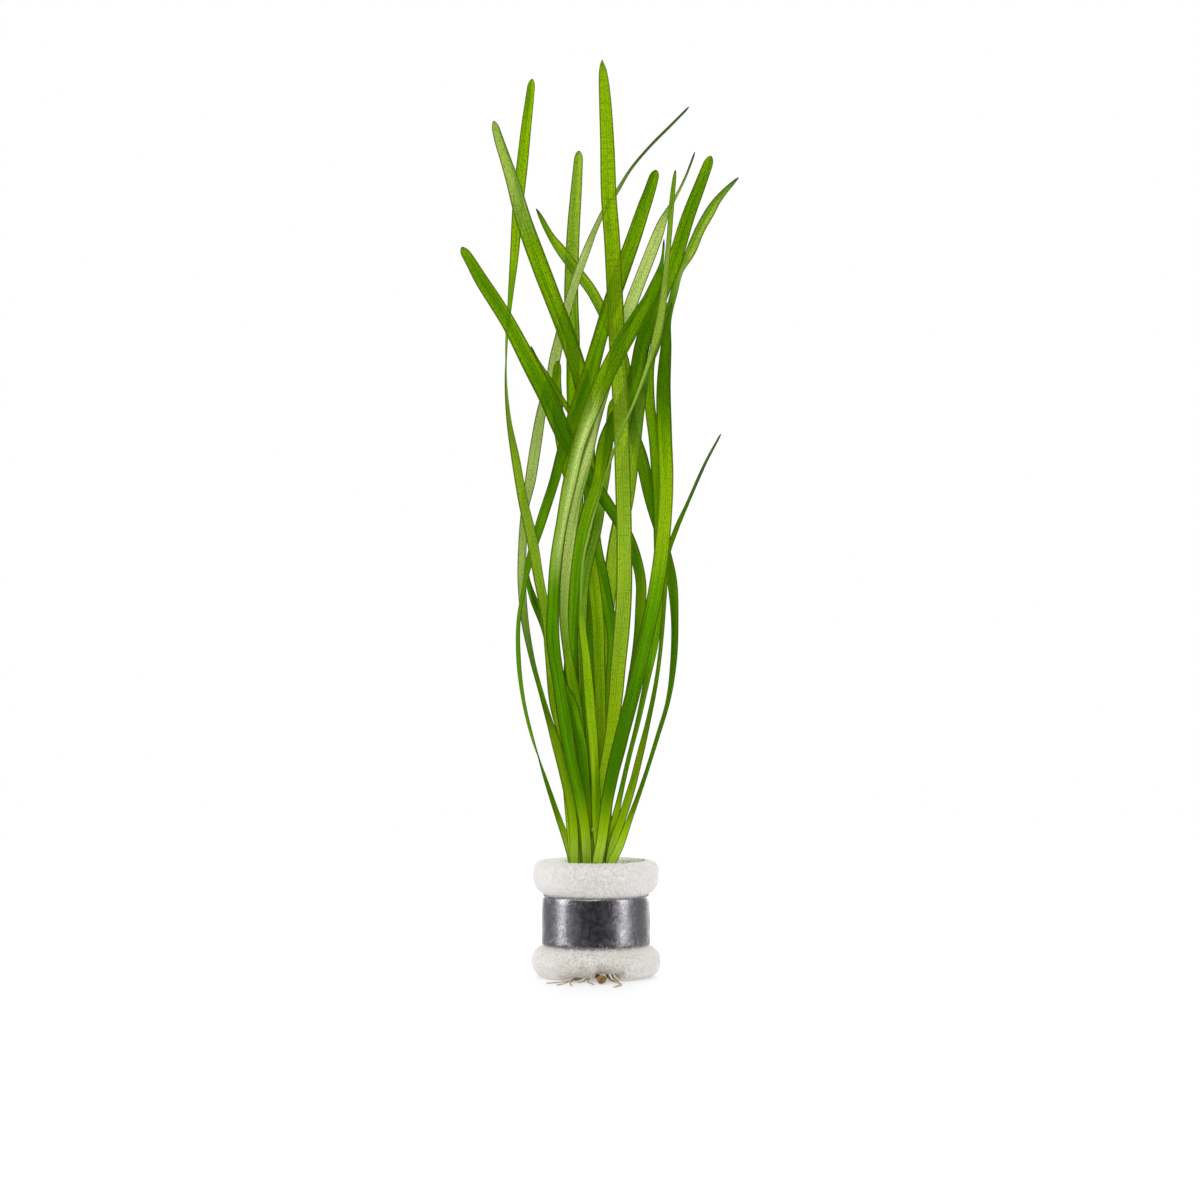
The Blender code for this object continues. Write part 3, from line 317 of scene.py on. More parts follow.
# Crowns, each with its centre and half sizes in mm, and roots, each with its radius at the crown and at
# the tip and the points of its route in mm
CROWNS = {
    "crown_left": (-5.85, -2.0, 1.0, 1.7),
    "crown_middle": (-2.3, -1.1, 2.3, 4.3),
    "crown_right": (1.7, -1.2, 1.3, 3.0),
}
CROWN_TOP = 14.0 * MM
CROWN_BOTTOM = 4.5 * MM
CROWN_ROWS = 24
CROWN_SIDES = 48
CROWN_BLUNTNESS = 4
CROWN_END_SHARE = 0.02
CROWN_RIDGE = 0.12
CROWN_RIDGES = 7
CROWN_TWIST = 2.0
ROOTS = {
    "root_1": (0.24, 0.16, (
        (-5.9, -2.8, 4.0), (-5.5, -4.4, 1.4), (-5.7, -6.6, 0.55), (-6.5, -10.2, 0.42), (-7.3, -13.6, 0.42),
        (-8.6, -16.2, 0.42), (-9.9, -17.6, 0.42), (-11.4, -18.2, 0.4), (-13.2, -18.8, 0.35),
    )),
    "root_2": (0.22, 0.15, (
        (-4.4, -3.2, 4.0), (-4.1, -5.2, 1.5), (-4.3, -7.4, 0.55), (-5.0, -10.6, 0.45), (-5.8, -14.6, 0.5),
        (-6.4, -17.4, 0.85), (-7.2, -19.8, 1.0), (-8.9, -21.2, 0.5), (-10.6, -22.4, 0.3),
    )),
    "root_3": (0.24, 0.14, (
        (-5.2, -2.8, 4.0), (-4.9, -5.0, 1.5), (-5.1, -7.2, 0.55), (-5.8, -10.6, 0.42), (-6.7, -14.4, 0.42),
        (-7.2, -17.2, 0.4), (-7.3, -20.0, 0.35), (-6.9, -22.0, 0.3), (-6.8, -24.0, 0.3),
    )),
    "root_4": (0.22, 0.14, (
        (-3.4, -4.4, 4.0), (-3.1, -5.8, 1.5), (-3.2, -7.8, 0.55), (-3.6, -11.6, 0.42), (-4.0, -15.0, 0.42),
        (-4.6, -16.8, 0.42), (-5.1, -17.6, 0.42), (-5.6, -18.0, 0.4),
    )),
    "root_5": (0.22, 0.16, (
        (-2.5, -4.4, 4.0), (-2.3, -5.8, 1.5), (-2.5, -7.8, 0.55), (-2.9, -11.6, 0.42), (-3.0, -15.0, 0.42),
        (-2.7, -17.4, 0.4), (-2.0, -19.6, 0.35), (-1.4, -21.4, 0.3),
    )),
    "root_6": (0.50, 0.16, (
        (1.5, -3.4, 3.7), (1.6, -5.2, 2.0), (1.8, -7.6, 0.95), (2.2, -11.0, 0.8), (2.7, -15.0, 0.75),
        (3.6, -18.0, 0.7), (4.7, -20.2, 0.5), (5.2, -21.6, 0.4), (4.7, -23.4, 0.35), (3.9, -25.2, 0.3),
        (3.2, -26.4, 0.3),
    )),
    "root_7": (0.26, 0.16, (
        (2.6, -3.2, 4.0), (2.8, -5.2, 2.0), (3.1, -7.6, 0.95), (3.5, -11.0, 0.65), (4.1, -14.6, 0.6),
        (4.5, -16.6, 0.5), (4.3, -18.2, 0.4),
    )),
}
TUBE_SIDES = 12
TUBE_STEP = 0.25 * MM
ROOT_KNOT_SIZE = 1.6 * MM
ROOT_UNEVEN = 0.2
ROOT_TIP_RADII = 2.0
ROOT_TIP_LEAST = 0.05
RUNNER_RADIUS = 0.84 * MM
RUNNER_KNOBS = (0.75, 0.9, 0.8, 0.95, 0.85, 1.05, 1.4, 1.2)
RUNNER_ROUTE = (
    (-0.9, -3.4, 3.2), (-0.8, -5.2, 1.6), (-0.6, -8.0, 0.9), (-0.3, -11.4, 0.88),
    (0.0, -14.5, 0.88), (0.2, -16.2, 0.95), (0.4, -17.6, 1.25), (0.7, -19.0, 1.3),
)
RUNNER_LUMP = 0.12 * MM
RUNNER_LUMP_SIZE = 0.6 * MM

# Colours, as linear light, and the depth of each surface's relief
LEAF_SURFACE = ((0.075, 0.250, 0.002), (0.168, 0.460, 0.003), (0.410, 0.670, 0.010))
# The pale colour of the painted sheen on the leaves, and of their sheaths
LEAF_PALE = (0.76, 0.93, 0.27)
LEAF_BASE = (0.59, 0.92, 0.01)
LEAF_LIT = ((0.27, 0.42, 0.02), (0.38, 0.54, 0.02), (0.54, 0.69, 0.03))
# The light through the painted sheen and through the sheaths
LEAF_LIT_PALE = (1.00, 1.00, 0.62)
LEAF_LIT_BASE = (0.80, 0.95, 0.15)
LEAF_VEIN = (0.020, 0.070, 0.001)
LEAF_TIP = (0.042, 0.034, 0.034)
LEAF_MARGIN = (0.062, 0.078, 0.003)
# Painted shade on the parts of a leaf that are turned edge-on to the camera
LEAF_EDGE_ON_SHADE = (0.085, 0.180, 0.004)
LEAF_RELIEF = 0.09 * MM
FOAM_WHITE = (0.84, 0.825, 0.805)
# Painted shade down in the foam's pits
FOAM_PIT_SHADE = (0.42, 0.38, 0.31)
FOAM_WARM = (0.78, 0.74, 0.67)
FOAM_RELIEF = 0.15 * MM
LEAD_DARK = (0.262, 0.254, 0.272)
LEAD_WORN = (0.305, 0.292, 0.309)
LEAD_BRIGHT = (0.66, 0.63, 0.65)
LEAD_RELIEF = 0.08 * MM
ROOT_BEIGE = (0.50, 0.38, 0.20)
ROOT_BROWN = (0.28, 0.18, 0.07)
ROOT_PALE = (0.66, 0.58, 0.42)
ROOT_RELIEF = 0.03 * MM
RUNNER_ORANGE = (0.42, 0.20, 0.04)
RUNNER_BROWN = (0.14, 0.07, 0.02)
RUNNER_RELIEF = 0.15 * MM
CROWN_PALE = (0.55, 0.60, 0.26)
CROWN_GREEN = (0.30, 0.44, 0.08)
CROWN_LIGHT = (0.72, 0.74, 0.48)
CROWN_RELIEF = 0.05 * MM
FLOOR_WHITE = (0.90, 0.90, 0.91)
FLOOR_PALE = (0.86, 0.86, 0.87)
FLOOR_RELIEF = 0.05 * MM

# The sockets of a Mix node that take and give colours
COLOUR_INPUTS = (6, 7)
COLOUR_OUTPUT = 2

# Other numbers of the materials
LEAF_SPECULAR = 0.0
LEAF_SCATTER = 0.22
LEAF_SOLID = 0.30
SHEEN_BY_BANDS = 0.6
DARK_TIP_LEAST = 0.3
DARK_TIP_FULL = 0.45
FOAM_FINE_CELLS = 2600.0
FOAM_PORE_CELLS = 1150.0
FOAM_RELIEF_FINE = 0.4
FOAM_SCATTER = {
    "Subsurface_Weight": 0.25,
    "Subsurface_Radius": (1.0, 0.9, 0.75),
    "Subsurface_Scale": 1.2 * MM,
    "Specular_IOR_Level": 0.25,
}
LEAD_WORN_PATCHES = 0.5
LEAD_ROUGH_FLECKS = 0.4
LEAD_RELIEF_PATCHES = 0.7
CROWN_STRETCH = (1.0, 1.0, 0.12)
FLOOR_ROUGHNESS = 0.8
FLOOR_BUMP = 0.1
FLOOR_RADIUS = 40.0
FLOOR_SIDES = 96

# How fast a leaf's noises change across and along it, for each mm
LEAF_NOISES = {
    "leaf_tone": (0.25, 0.05),
    "leaf_streaks": (2.0, 0.03),
    "leaf_bands": (0.55, 0.02),
    "leaf_specks": (2.6, 1.7),
    "leaf_cross": (0.22, 1.4),
}

# The scale, detail and roughness of each noise, as far as they aren't Blender's own
NOISES = {
    "leaf_tone": (1.0,),
    "leaf_streaks": (1.0,),
    "leaf_bands": (1.0, 1.0),
    "leaf_specks": (1.0, 1.0),
    "leaf_cross": (1.0, 2.0),
    "leaf_grain": (4.0, 2.0, 0.6),
    "foam_tone": (90.0, 3.0),
    "lead_blotch": (330.0, 4.0, 0.6),
    "lead_patches": (800.0, 5.0, 0.7),
    "lead_flecks": (2400.0, 3.0),
    "lead_scuffed": (140.0, 1.0),
    "root_bands": (1.4, 3.0),
    "root_grain": (4200.0,),
    "runner_patches": (900.0, 4.0, 0.6),
    "runner_grain": (5200.0,),
    "crown_ribs": (1500.0,),
    "crown_tone": (220.0, 3.0),
    "floor_tone": (3.0, 3.0),
    "floor_grain": (900.0,),
}

# Steps: the reading where a pattern begins and where it is complete, then its strength at the one and at
# the other, unless these are 0 and 1
STEPS = {
    "vein": (0.30, 0.5),
    "midrib": (0.02, 0.10, 1.0, 0.0),
    "specks": (0.50, 0.64),
    "specks_from_base": (20.0, 60.0, 0.35, 1.0),
    "cross": (0.52, 0.68),
    "cross_to_margin": (0.45, 0.9, 1.0, 0.1),
    "margin": (0.76, 0.92),
    "base": (16.0, 36.0, 1.0, 0.0),
    "sheath": (17.0, 24.0, 0.22, 0.0),
    "thick": (85.0, 150.0, 1.0, 0.0),
    "narrow": (0.72, 0.99),
    "painted_sheen": (0.28, 0.52, 0.30, 1.0),
    "tip_rim": (0.45, 0.85, 0.32, 1.0),
    "tip_end": (0.8, 3.5, 0.9, 0.0),
    "foam_pores": (0.0, 0.45),
    "foam_depth": (0.35, 0.95),
    "foam_low": (6.0, 20.0, 1.0, 0.0),
    "foam_middle": (4.0, 13.0, 1.0, 0.55),
    "lead_edge": (0.4, 2.6, 1.0, 0.0),
    "lead_patches": (0.47, 0.57),
    "lead_flecks": (0.42, 0.56),
    "lead_scuffed": (0.38, 0.52),
    "lead_worn": (0.46, 0.58),
    "lead_roughness": (0.36, 0.64, 0.20, 0.42),
    "root_bands": (0.35, 0.65),
    "runner_patches": (0.42, 0.6),
    "runner_grain": (0.5, 0.7, 0.0, 0.5),
    "crown_tone": (0.35, 0.65),
    "floor_glow": (0.12, 0.55, 1.25, 1.0),
    "floor_fade": (0.12, 0.55, 0.3, 1.0),
    "ambient": (-0.97, -0.50, 0.075, 0.40),
}

# Spans: what a pattern gives where it is 0 and where it is 1
SPANS = {
    "tone_shift": (-0.35, 0.35),
    "streak_shift": (-0.65, 0.65),
    "band_shift": (-0.45, 0.45),
    "edge_on_shade_shift": (0.0, -0.5),
    "specks_by_vein": (0.5, 1.0),
    "vein_line": (0.0, 0.26),
    "midrib_line": (0.0, 0.30),
    "speck_line": (0.0, 0.60),
    "cross_line": (0.0, 0.34),
    "narrow_lines": (1.0, 0.2),
    "base_colour": (0.0, 0.9),
    "margin_colour": (0.0, 0.82),
    "edge_on_shade_colour": (0.0, 0.45),
    "base_solid": (0.0, 0.85),
    "sheen_solid": (0.0, 0.85),
    "thick_solid": (0.0, 0.72),
    "grain_relief": (0.0, 0.5),
    "vein_relief": (0.0, -0.5),
    "speck_relief": (0.0, -0.25),
    "leaf_roughness": (0.30, 0.55),
    "foam_pit_shade": (0.44, 0.84),
    "foam_warm": (0.0, 0.7),
    "foam_warm_low": (-0.25, 0.0),
    "foam_roughness": (0.85, 0.95),
    "lead_scuff": (0.06, 1.0),
    "root_grain": (0.0, 0.35),
    "root_roughness": (0.5, 0.7),
    "runner_grain": (0.0, 0.3),
    "runner_roughness": (0.5, 0.75),
    "crown_ribs": (0.0, 0.4),
    "crown_roughness": (0.4, 0.6),
}

# Light: the surround as the camera sees it and as it lights the bunch, and each softbox's place, aim, size
# and power
SURROUND_SEEN = (1.0, 1.0, 1.0)
SURROUND_LIGHT = (0.97, 0.98, 1.0)
LIGHTS = (
    ("left_strip", (-0.78, -0.17, 0.22), (0.0, 0.0, 0.06), (0.18, 0.7), 2.3),
    ("right_strip", (0.68, -0.38, 0.22), (0.0, 0.0, 0.06), (0.24, 0.7), 2.1),
    ("top", (0.0, 0.1, 1.2), (0.0, 0.0, 0.0), (1.2, 1.2), 4.2),
    ("front", (-0.3, -1.0, 1.1), (0.0, 0.0, 0.1), (0.8, 0.6), 6.4),
    ("back", (0.1, 1.1, 0.35), (0.0, 0.0, 0.12), (1.8, 0.9), 16.0),
)


def place_of_pixel(across, down, depth):
    """The point at this depth that the photograph shows at this pixel."""
    scale = PHOTO_PIXEL * (CAMERA_DISTANCE + depth) / CAMERA_DISTANCE
    return (across - PHOTO_CENTRE) * scale, depth, CAMERA_HEIGHT + (PHOTO_CENTRE - down) * scale


def smooth_through(rows, at):
    """Values at distances `at` along a smooth line through rows, whose first column is the distance."""
    along, values = np.split(np.asarray(rows, float), [1], axis=1)
    along = along[:, 0]
    slopes = np.gradient(values, along, axis=0)
    index = np.clip(np.searchsorted(along, at) - 1, 0, len(along) - 2)
    span = (along[index + 1] - along[index])[:, None]
    t = (at - along[index])[:, None] / span
    return (
        (2 * t**3 - 3 * t**2 + 1) * values[index]
        + (t**3 - 2 * t**2 + t) * span * slopes[index]
        + (3 * t**2 - 2 * t**3) * values[index + 1]
        + (t**3 - t**2) * span * slopes[index + 1]
    )


def distances_along(points):
    steps = np.linalg.norm(np.diff(np.asarray(points), axis=0), axis=1)
    return np.concatenate([[0.0], np.cumsum(steps)])


def eased(value):
    value = np.clip(value, 0.0, 1.0)
    return value * value * (3.0 - 2.0 * value)


def unit(vectors):
    return vectors / np.linalg.norm(vectors, axis=-1, keepdims=True)


def circle(count, start=0.0):
    """Angles at even steps round a circle."""
    return np.linspace(start, start + 2.0 * math.pi, count, endpoint=False)


def noise_at(points, size, seed):
    """Smooth noise from -1 to 1 at each point, with features of this size."""
    offset = Vector([seed * step for step in NOISE_STEPS])
    values = [noise.noise(Vector(point) / size + offset) for point in points.reshape(-1, 3)]
    return np.array(values).reshape(points.shape[:-1])


def cells_at(points, size, seed):
    """Rounded grains of this size, from 0 at their borders to 1 on top."""
    offset = Vector([seed * step for step in CELL_STEPS])
    heights = []
    for point in points:
        near, next_near = noise.voronoi(Vector(point) / size + offset)[0][:2]
        heights.append(1.0 - min(near / next_near, 1.0) ** 2)
    return np.array(heights)


def grid(x, y, z):
    """Points in rows and columns from their coordinates, which may be given for one row or column only."""
    return np.stack(np.broadcast_arrays(x, y, z), axis=2)


def grid_mesh(name, points, closed_rows=False):
    """A mesh of quads through a grid of points, whose columns close on themselves.

    Where the rows don't close as well, the first and the last are capped.
    """
    rows, columns, _ = points.shape
    corner = np.arange(rows * columns).reshape(rows, columns)
    right = np.roll(corner, -1, axis=1)
    quads = np.stack([corner, right, np.roll(right, -1, axis=0), np.roll(corner, -1, axis=0)], axis=2)
    faces = quads[: rows if closed_rows else rows - 1].reshape(-1, 4).tolist()
    if not closed_rows:
        faces += [corner[0, ::-1].tolist(), corner[-1].tolist()]
    mesh = bpy.data.meshes.new(name)
    mesh.from_pydata(points.reshape(-1, 3).tolist(), [], faces)
    mesh.update()
    return mesh


def add_values(mesh, shape, **values):
    """Numbers for the points of a grid of this shape, which the piece's material reads by name."""
    for name, numbers in values.items():
        layer = mesh.attributes.new(name, "FLOAT", "POINT")
        layer.data.foreach_set("value", np.broadcast_to(numbers, shape).astype(np.float32).ravel())


def outward(mesh):
    shape = bmesh.new()
    shape.from_mesh(mesh)
    bmesh.ops.recalc_face_normals(shape, faces=shape.faces)
    shape.to_mesh(mesh)
    shape.free()


def places_and_normals(mesh):
    return [np.array([getattr(vert, what) for vert in mesh.vertices]) for what in ("co", "normal")]


def move_points(mesh, places):
    mesh.vertices.foreach_set("co", places.astype(np.float32).ravel())
    mesh.update()


def put_in_scene(name, data):
    obj = bpy.data.objects.new(name, data)
    bpy.context.scene.collection.objects.link(obj)
    return obj


def add_piece(name, mesh, material, node):
    """Puts a mesh in the scene as a piece that rides on the bunch and stands for this CAD node."""
    outward(mesh)
    for polygon in mesh.polygons:
        polygon.use_smooth = True
    mesh.materials.append(material)
    obj = put_in_scene(name, mesh)
    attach(obj, BODY)
    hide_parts(node)
    return obj


def leaf_width(full, base, from_tip, length):
    """The true width of a leaf at these distances from its tip."""
    rounding = np.minimum(from_tip / TIP_ROUNDING, 1.0)
    tip = np.maximum(TIP_END_SHARE, np.sqrt(1.0 - (1.0 - rounding) ** 2))
    tip = tip * (TIP_SHARE + (1.0 - TIP_SHARE) * (1.0 - np.exp(-from_tip / TIP_TAPER)))
    return tip * (base + (full - base) * eased((length - from_tip) / BASE_TAPER))


def gathered(point):
    """The points that lead a leaf from the top of the collar down to its crown."""
    out = []
    for height, share in GATHER_STEPS:
        squeeze = 1.0 + (GATHER_SQUEEZE - 1.0) * share
        x, y = (centre + (place - centre) * squeeze for place, centre in zip(point, GATHER_CENTRE))
        out.append((x, y, height))
    return out


def leaf_line(full, base, route):
    """Rows of distance from the tip, place and turn about the leaf's own line."""
    points = [place_of_pixel(across, down, depth * MM) for across, down, depth, _ in route]
    points += gathered(points[-1])
    along = distances_along(points)
    shares = []
    for distance, (_, _, _, seen) in zip(along, route):
        true_width = leaf_width(full, base, max(distance, TIP_ROUNDING), along[-1])
        shares.append(np.clip(seen * PHOTO_PIXEL / true_width, -1.0, 1.0))
    shares += [math.copysign(1.0, shares[-1])] * len(GATHER_STEPS)
    return [(distance, *point, math.acos(share)) for distance, point, share in zip(along, points, shares)]


def leaf_stations(length):
    """Distances from the tip, close together where the tip rounds."""
    tip = TIP_ROUNDING * (1.0 - np.cos(np.linspace(0.0, 0.5 * math.pi, TIP_ROWS)))
    count = int(round((length - TIP_ROUNDING) / LEAF_STATION_GAP))
    return np.concatenate([tip, np.linspace(TIP_ROUNDING, length, count)[1:]])


def add_leaf(name, leaf, seed, material):
    """A ribbon with thin margins, a faint channel and a slight ripple."""
    (full, base, way), (yellow, pale, sheen_middle, sheen_half, dark_tip, lines), route = leaf
    full, base = full * MM, base * MM
    rows = leaf_line(full, base, route)
    length = rows[-1][0]
    stations = leaf_stations(length)
    line = smooth_through(rows, stations)
    centre = line[:, :3]
    along = unit(np.gradient(centre, stations, axis=0))
    across = unit(np.cross(along, (0.0, -1.0, 0.0)))
    facing = np.cross(across, along)
    turn = (way * line[:, 3])[:, None]
    edge = across * np.cos(turn) + facing * np.sin(turn)
    face = facing * np.cos(turn) - across * np.sin(turn)
    half = 0.5 * leaf_width(full, base, stations, length)[:, None]
    side = np.linspace(-1.0, 1.0, ACROSS + 1)[None, :]
    ripples = [
        [noise.noise(Vector((station / RIPPLE_LENGTH, seed * RIPPLE_SEED_STEP, margin)))]
        for margin in RIPPLE_MARGINS for station in stations
    ]
    left, right = np.split(np.array(ripples), 2)
    grown = np.minimum(half / (0.5 * full), 1.0)
    ripple = RIPPLE * grown * np.where(side < 0.0, left, right) * side**2
    lift = LEAF_CHANNEL * 2.0 * half * (side**2 - 0.5) + ripple
    thick = 0.5 * LEAF_THICKNESS * (MARGIN_SHARE + (1.0 - MARGIN_SHARE) * np.sqrt(1.0 - side**2))
    thick = thick * np.minimum(TIP_THICK_SHARE + stations / TIP_ROUNDING, 1.0)[:, None]
    middle = centre[:, None] + edge[:, None] * (half * side)[..., None]
    front = middle + face[:, None] * (lift + thick)[..., None]
    back = middle + face[:, None] * (lift - thick)[..., None]
    mesh = grid_mesh(name, np.concatenate([front, back[:, ::-1]], axis=1))
    # The shifts along the height, own tone with painted shade and painted light, go into how yellow the
    # leaf is
    if name in TONE_LIGHT_AND_SHADE:
        heights, shifts = zip(*TONE_LIGHT_AND_SHADE[name])
        yellow = yellow + np.interp(centre[:, 2] / MM, heights, shifts)[:, None]
    sides = np.concatenate([side, side[:, ::-1]], axis=1)
    steps = stations[:, None] / MM
    # Where the painted sheen lies along the leaf, and across it where it is a stripe
    sheen_zone = eased((sheen_half - np.abs(steps - sheen_middle)) / (SHEEN_FADE * sheen_half))
    if name in SHEEN_STRIPES:
        middle_side, reach = SHEEN_STRIPES[name]
        sheen_zone = sheen_zone * np.exp(-((sides - middle_side) / reach) ** 2)
    add_values(
        mesh,
        (len(stations), sides.size),
        side=sides,
        across_mm=sides * half / MM,
        along_mm=steps,
        base_mm=length / MM - steps,
        seed=seed * SEED_STEP,
        yellow=yellow,
        pale=pale * sheen_zone,
        # how far the leaf turns edge-on to the camera, where the material paints shade
        edge_on=np.abs(np.sin(line[:, 3:])),
        dark_tip_mm=dark_tip,
        lines=lines,
    )
    add_piece(name + "_blade", mesh, material, name)


def foam_outline():
    """The collar's outline walked at even steps, its corners rounded a little."""
    corners = np.array(COLLAR_PROFILE + COLLAR_PROFILE[:1]) * MM
    along = distances_along(corners)
    count = int(round(along[-1] / FOAM_ROW))
    at = np.linspace(0.0, along[-1], count, endpoint=False)
    ring = np.stack([np.interp(at, along, corners[:, axis]) for axis in (0, 1)], axis=1)
    for _ in range(FOAM_ROUNDING_PASSES):
        ring = 0.25 * np.roll(ring, 1, axis=0) + 0.5 * ring + 0.25 * np.roll(ring, -1, axis=0)
    return ring


def foam_shape():
    """The smooth rolled foam as a grid of points: rows round the outline, columns round the axis."""
    ring = foam_outline()
    radius = ring[:, :1]
    height = ring[:, 1:]
    angles = circle(FOAM_COLUMNS, -math.pi)[None, :]
    x = radius * np.cos(angles)
    y = radius * np.sin(angles)
    share = eased((HOLE_EDGE + HOLE_FADE - radius) / HOLE_FADE)
    rise = eased((height - HOLE_SHIFT_START) / (HOLE_SHIFT_END - HOLE_SHIFT_START))
    shift = HOLE_SHIFT_LOW + (HOLE_SHIFT_TOP - HOLE_SHIFT_LOW) * rise
    lift = np.zeros_like(angles)
    for centre, half_width, arch_height in ARCHES:
        off = np.abs(np.degrees(angles) - centre) / half_width
        arch = arch_height * (1.0 - eased((off - ARCH_FLAT_SHARE) / (1.0 - ARCH_FLAT_SHARE)))
        lift = np.maximum(lift, arch)
    return grid(
        x + share * (shift + x * (HOLE_STRETCH_X - 1.0)) + COLLAR_AXIS_X,
        y + share * (HOLE_SHIFT_Y + y * (HOLE_STRETCH_Y - 1.0)),
        height + lift * (1.0 - eased(height / ARCH_FADE_HEIGHT)),
    )


def add_foam(material):
    """The rolled foam with its cells, pressed flat under the lead and where it stands."""
    mesh = grid_mesh("foam_cells", foam_shape(), closed_rows=True)
    outward(mesh)
    places, normals = places_and_normals(mesh)
    sunk = 0.0
    pit = 1.0
    for seed, (size, depth, level, share) in enumerate(FOAM_CELLS, start=1):
        cells = cells_at(places, size, seed)
        sunk = sunk + depth * (level - cells)
        pit = pit - share * cells
    sunk = sunk + FOAM_SWELL * noise_at(places, FOAM_SWELL_SIZE, seed=3)
    wrapped = (places[:, 2] > BAND_BOTTOM) & (places[:, 2] < BAND_TOP)
    sunk = np.where(wrapped, np.maximum(sunk, 0.0), sunk)
    moved = places - normals * sunk[:, None]
    moved[:, 2] = np.maximum(moved[:, 2], 0.0)
    move_points(mesh, moved)
    # How deep each point lies among the grains, which the material darkens as painted shade in the pits
    add_values(
        mesh,
        len(places),
        pit=pit,
        height_mm=places[:, 2] / MM,
        off_mm=np.abs(places[:, 0] - COLLAR_AXIS_X) / MM,
    )
    add_piece("foam_roll", mesh, material, "foam_collar")


def add_band(material):
    """The lead strip with its lapped end at the back, dented and slightly uneven at its edges."""
    turned = np.linspace(0.0, 2.0 * math.pi + BAND_LAP, BAND_STEPS + 1)[:, None]
    rise = BAND_LAP_RISE * eased((turned - BAND_RISE_START) / (BAND_RISE_END - BAND_RISE_START))
    share = np.linspace(0.0, 1.0, BAND_ROWS + 1)[None, :]
    from_rim = np.minimum(share, 1.0 - share)
    height = BAND_BOTTOM + (BAND_TOP - BAND_BOTTOM) * share
    flat = grid(turned * BAND_RADIUS, height, 0.0)
    dents = noise_at(flat, BAND_DENT_SIZE, seed=4)
    creases = noise_at(flat * BAND_CREASE_STRETCH, BAND_CREASE_SIZE, seed=5)
    radius = BAND_RADIUS + rise + BAND_DENT * dents + BAND_CREASE * creases
    uneven = noise_at(flat[:, :1], BAND_EDGE_SIZE, seed=6)
    height = height - BAND_EDGE * (0.5 + 0.5 * uneven) * (2.0 * share - 1.0)
    thick = 0.5 * BAND_THICKNESS * np.minimum(BAND_RIM_SHARE + BAND_RIM_SLOPE * from_rim, 1.0)
    outer, inner = (
        grid(COLLAR_AXIS_X + away * np.cos(BAND_START + turned), away * np.sin(BAND_START + turned), height)
        for away in (radius + thick, radius - thick)
    )
    mesh = grid_mesh("lead_strip", np.concatenate([outer, inner[:, ::-1]], axis=1))
    edge = (BAND_TOP - BAND_BOTTOM) * from_rim / MM
    edge = np.concatenate([edge, edge[:, ::-1]], axis=1)
    add_values(mesh, (len(turned), edge.size), edge_mm=edge)
    add_piece("lead_strip", mesh, material, "lead_band")


def tube_mesh(name, points, radii):
    """A round tube along points, its frame carried along without twist."""
    along = unit(np.gradient(points, axis=0))
    normal = Vector(along[0]).orthogonal().normalized()
    rings = []
    turns = [(math.cos(a), math.sin(a)) for a in circle(TUBE_SIDES)]
    for point, tangent, radius in zip(points, along, radii):
        tangent = Vector(tangent)
        normal = (normal - tangent * normal.dot(tangent)).normalized()
        other = tangent.cross(normal)
        rings.append([Vector(point) + (normal * x + other * y) * radius for x, y in turns])
    return grid_mesh(name, np.array(rings))


def tube_route(route):
    """A smooth line through a route given in mm, at even steps."""
    points = np.array(route) * MM
    along = distances_along(points)
    rows = np.concatenate([along[:, None], points], axis=1)
    at = np.linspace(0.0, along[-1], int(round(along[-1] / TUBE_STEP)))
    return smooth_through(rows, at), at


def add_root(name, root, seed, material):
    """A thin root, a little uneven, that narrows to a rounded tip."""
    thick, thin, route = root
    points, at = tube_route(route)
    uneven = noise_at(np.outer(at, (1.0, 0.0, 0.0)), ROOT_KNOT_SIZE, seed)
    radii = np.linspace(thick * MM, thin * MM, len(at)) * (1.0 - ROOT_UNEVEN * (0.5 + 0.5 * uneven))
    from_end = (at[-1] - at) / (ROOT_TIP_RADII * thin * MM)
    radii *= np.sqrt(np.clip(from_end, ROOT_TIP_LEAST, 1.0))
    mesh = tube_mesh(name, points, radii)
    add_values(mesh, (len(at), TUBE_SIDES), along_mm=at[:, None] / MM, seed=seed * SEED_STEP)
    add_piece(name + "_fibre", mesh, material, name)


def add_runner(material):
    """The cut runner: knobbly, and thickest near its end."""
    points, at = tube_route(RUNNER_ROUTE)
    knobs = np.interp(at, np.linspace(0.0, at[-1], len(RUNNER_KNOBS)), RUNNER_KNOBS)
    mesh = tube_mesh("runner_stub", points, RUNNER_RADIUS * knobs)
    places, normals = places_and_normals(mesh)
    lumps = noise_at(places, RUNNER_LUMP_SIZE, seed=8)
    move_points(mesh, places + normals * (RUNNER_LUMP * (lumps - 1.0))[:, None])
    add_piece("runner_bark", mesh, material, "runner_stub")


def add_crown(name, crown, seed, material):
    """A plantlet's crown: a short stem wrapped in the bases of its leaves."""
    x, y, half_width, half_depth = (size * MM for size in crown)
    level = np.linspace(0.0, 1.0, CROWN_ROWS)[:, None]
    angle = circle(CROWN_SIDES)[None, :]
    full = np.sqrt(np.clip(1.0 - np.abs(2.0 * level - 1.0) ** CROWN_BLUNTNESS, CROWN_END_SHARE, 1.0))
    ridges = 1.0 - CROWN_RIDGE * (0.5 + 0.5 * np.cos(CROWN_RIDGES * angle + seed + CROWN_TWIST * level))
    points = grid(
        x + half_width * full * ridges * np.cos(angle),
        y + half_depth * full * ridges * np.sin(angle),
        CROWN_BOTTOM + (CROWN_TOP - CROWN_BOTTOM) * level,
    )
    add_piece(name + "_sheath", grid_mesh(name, points), material, name)


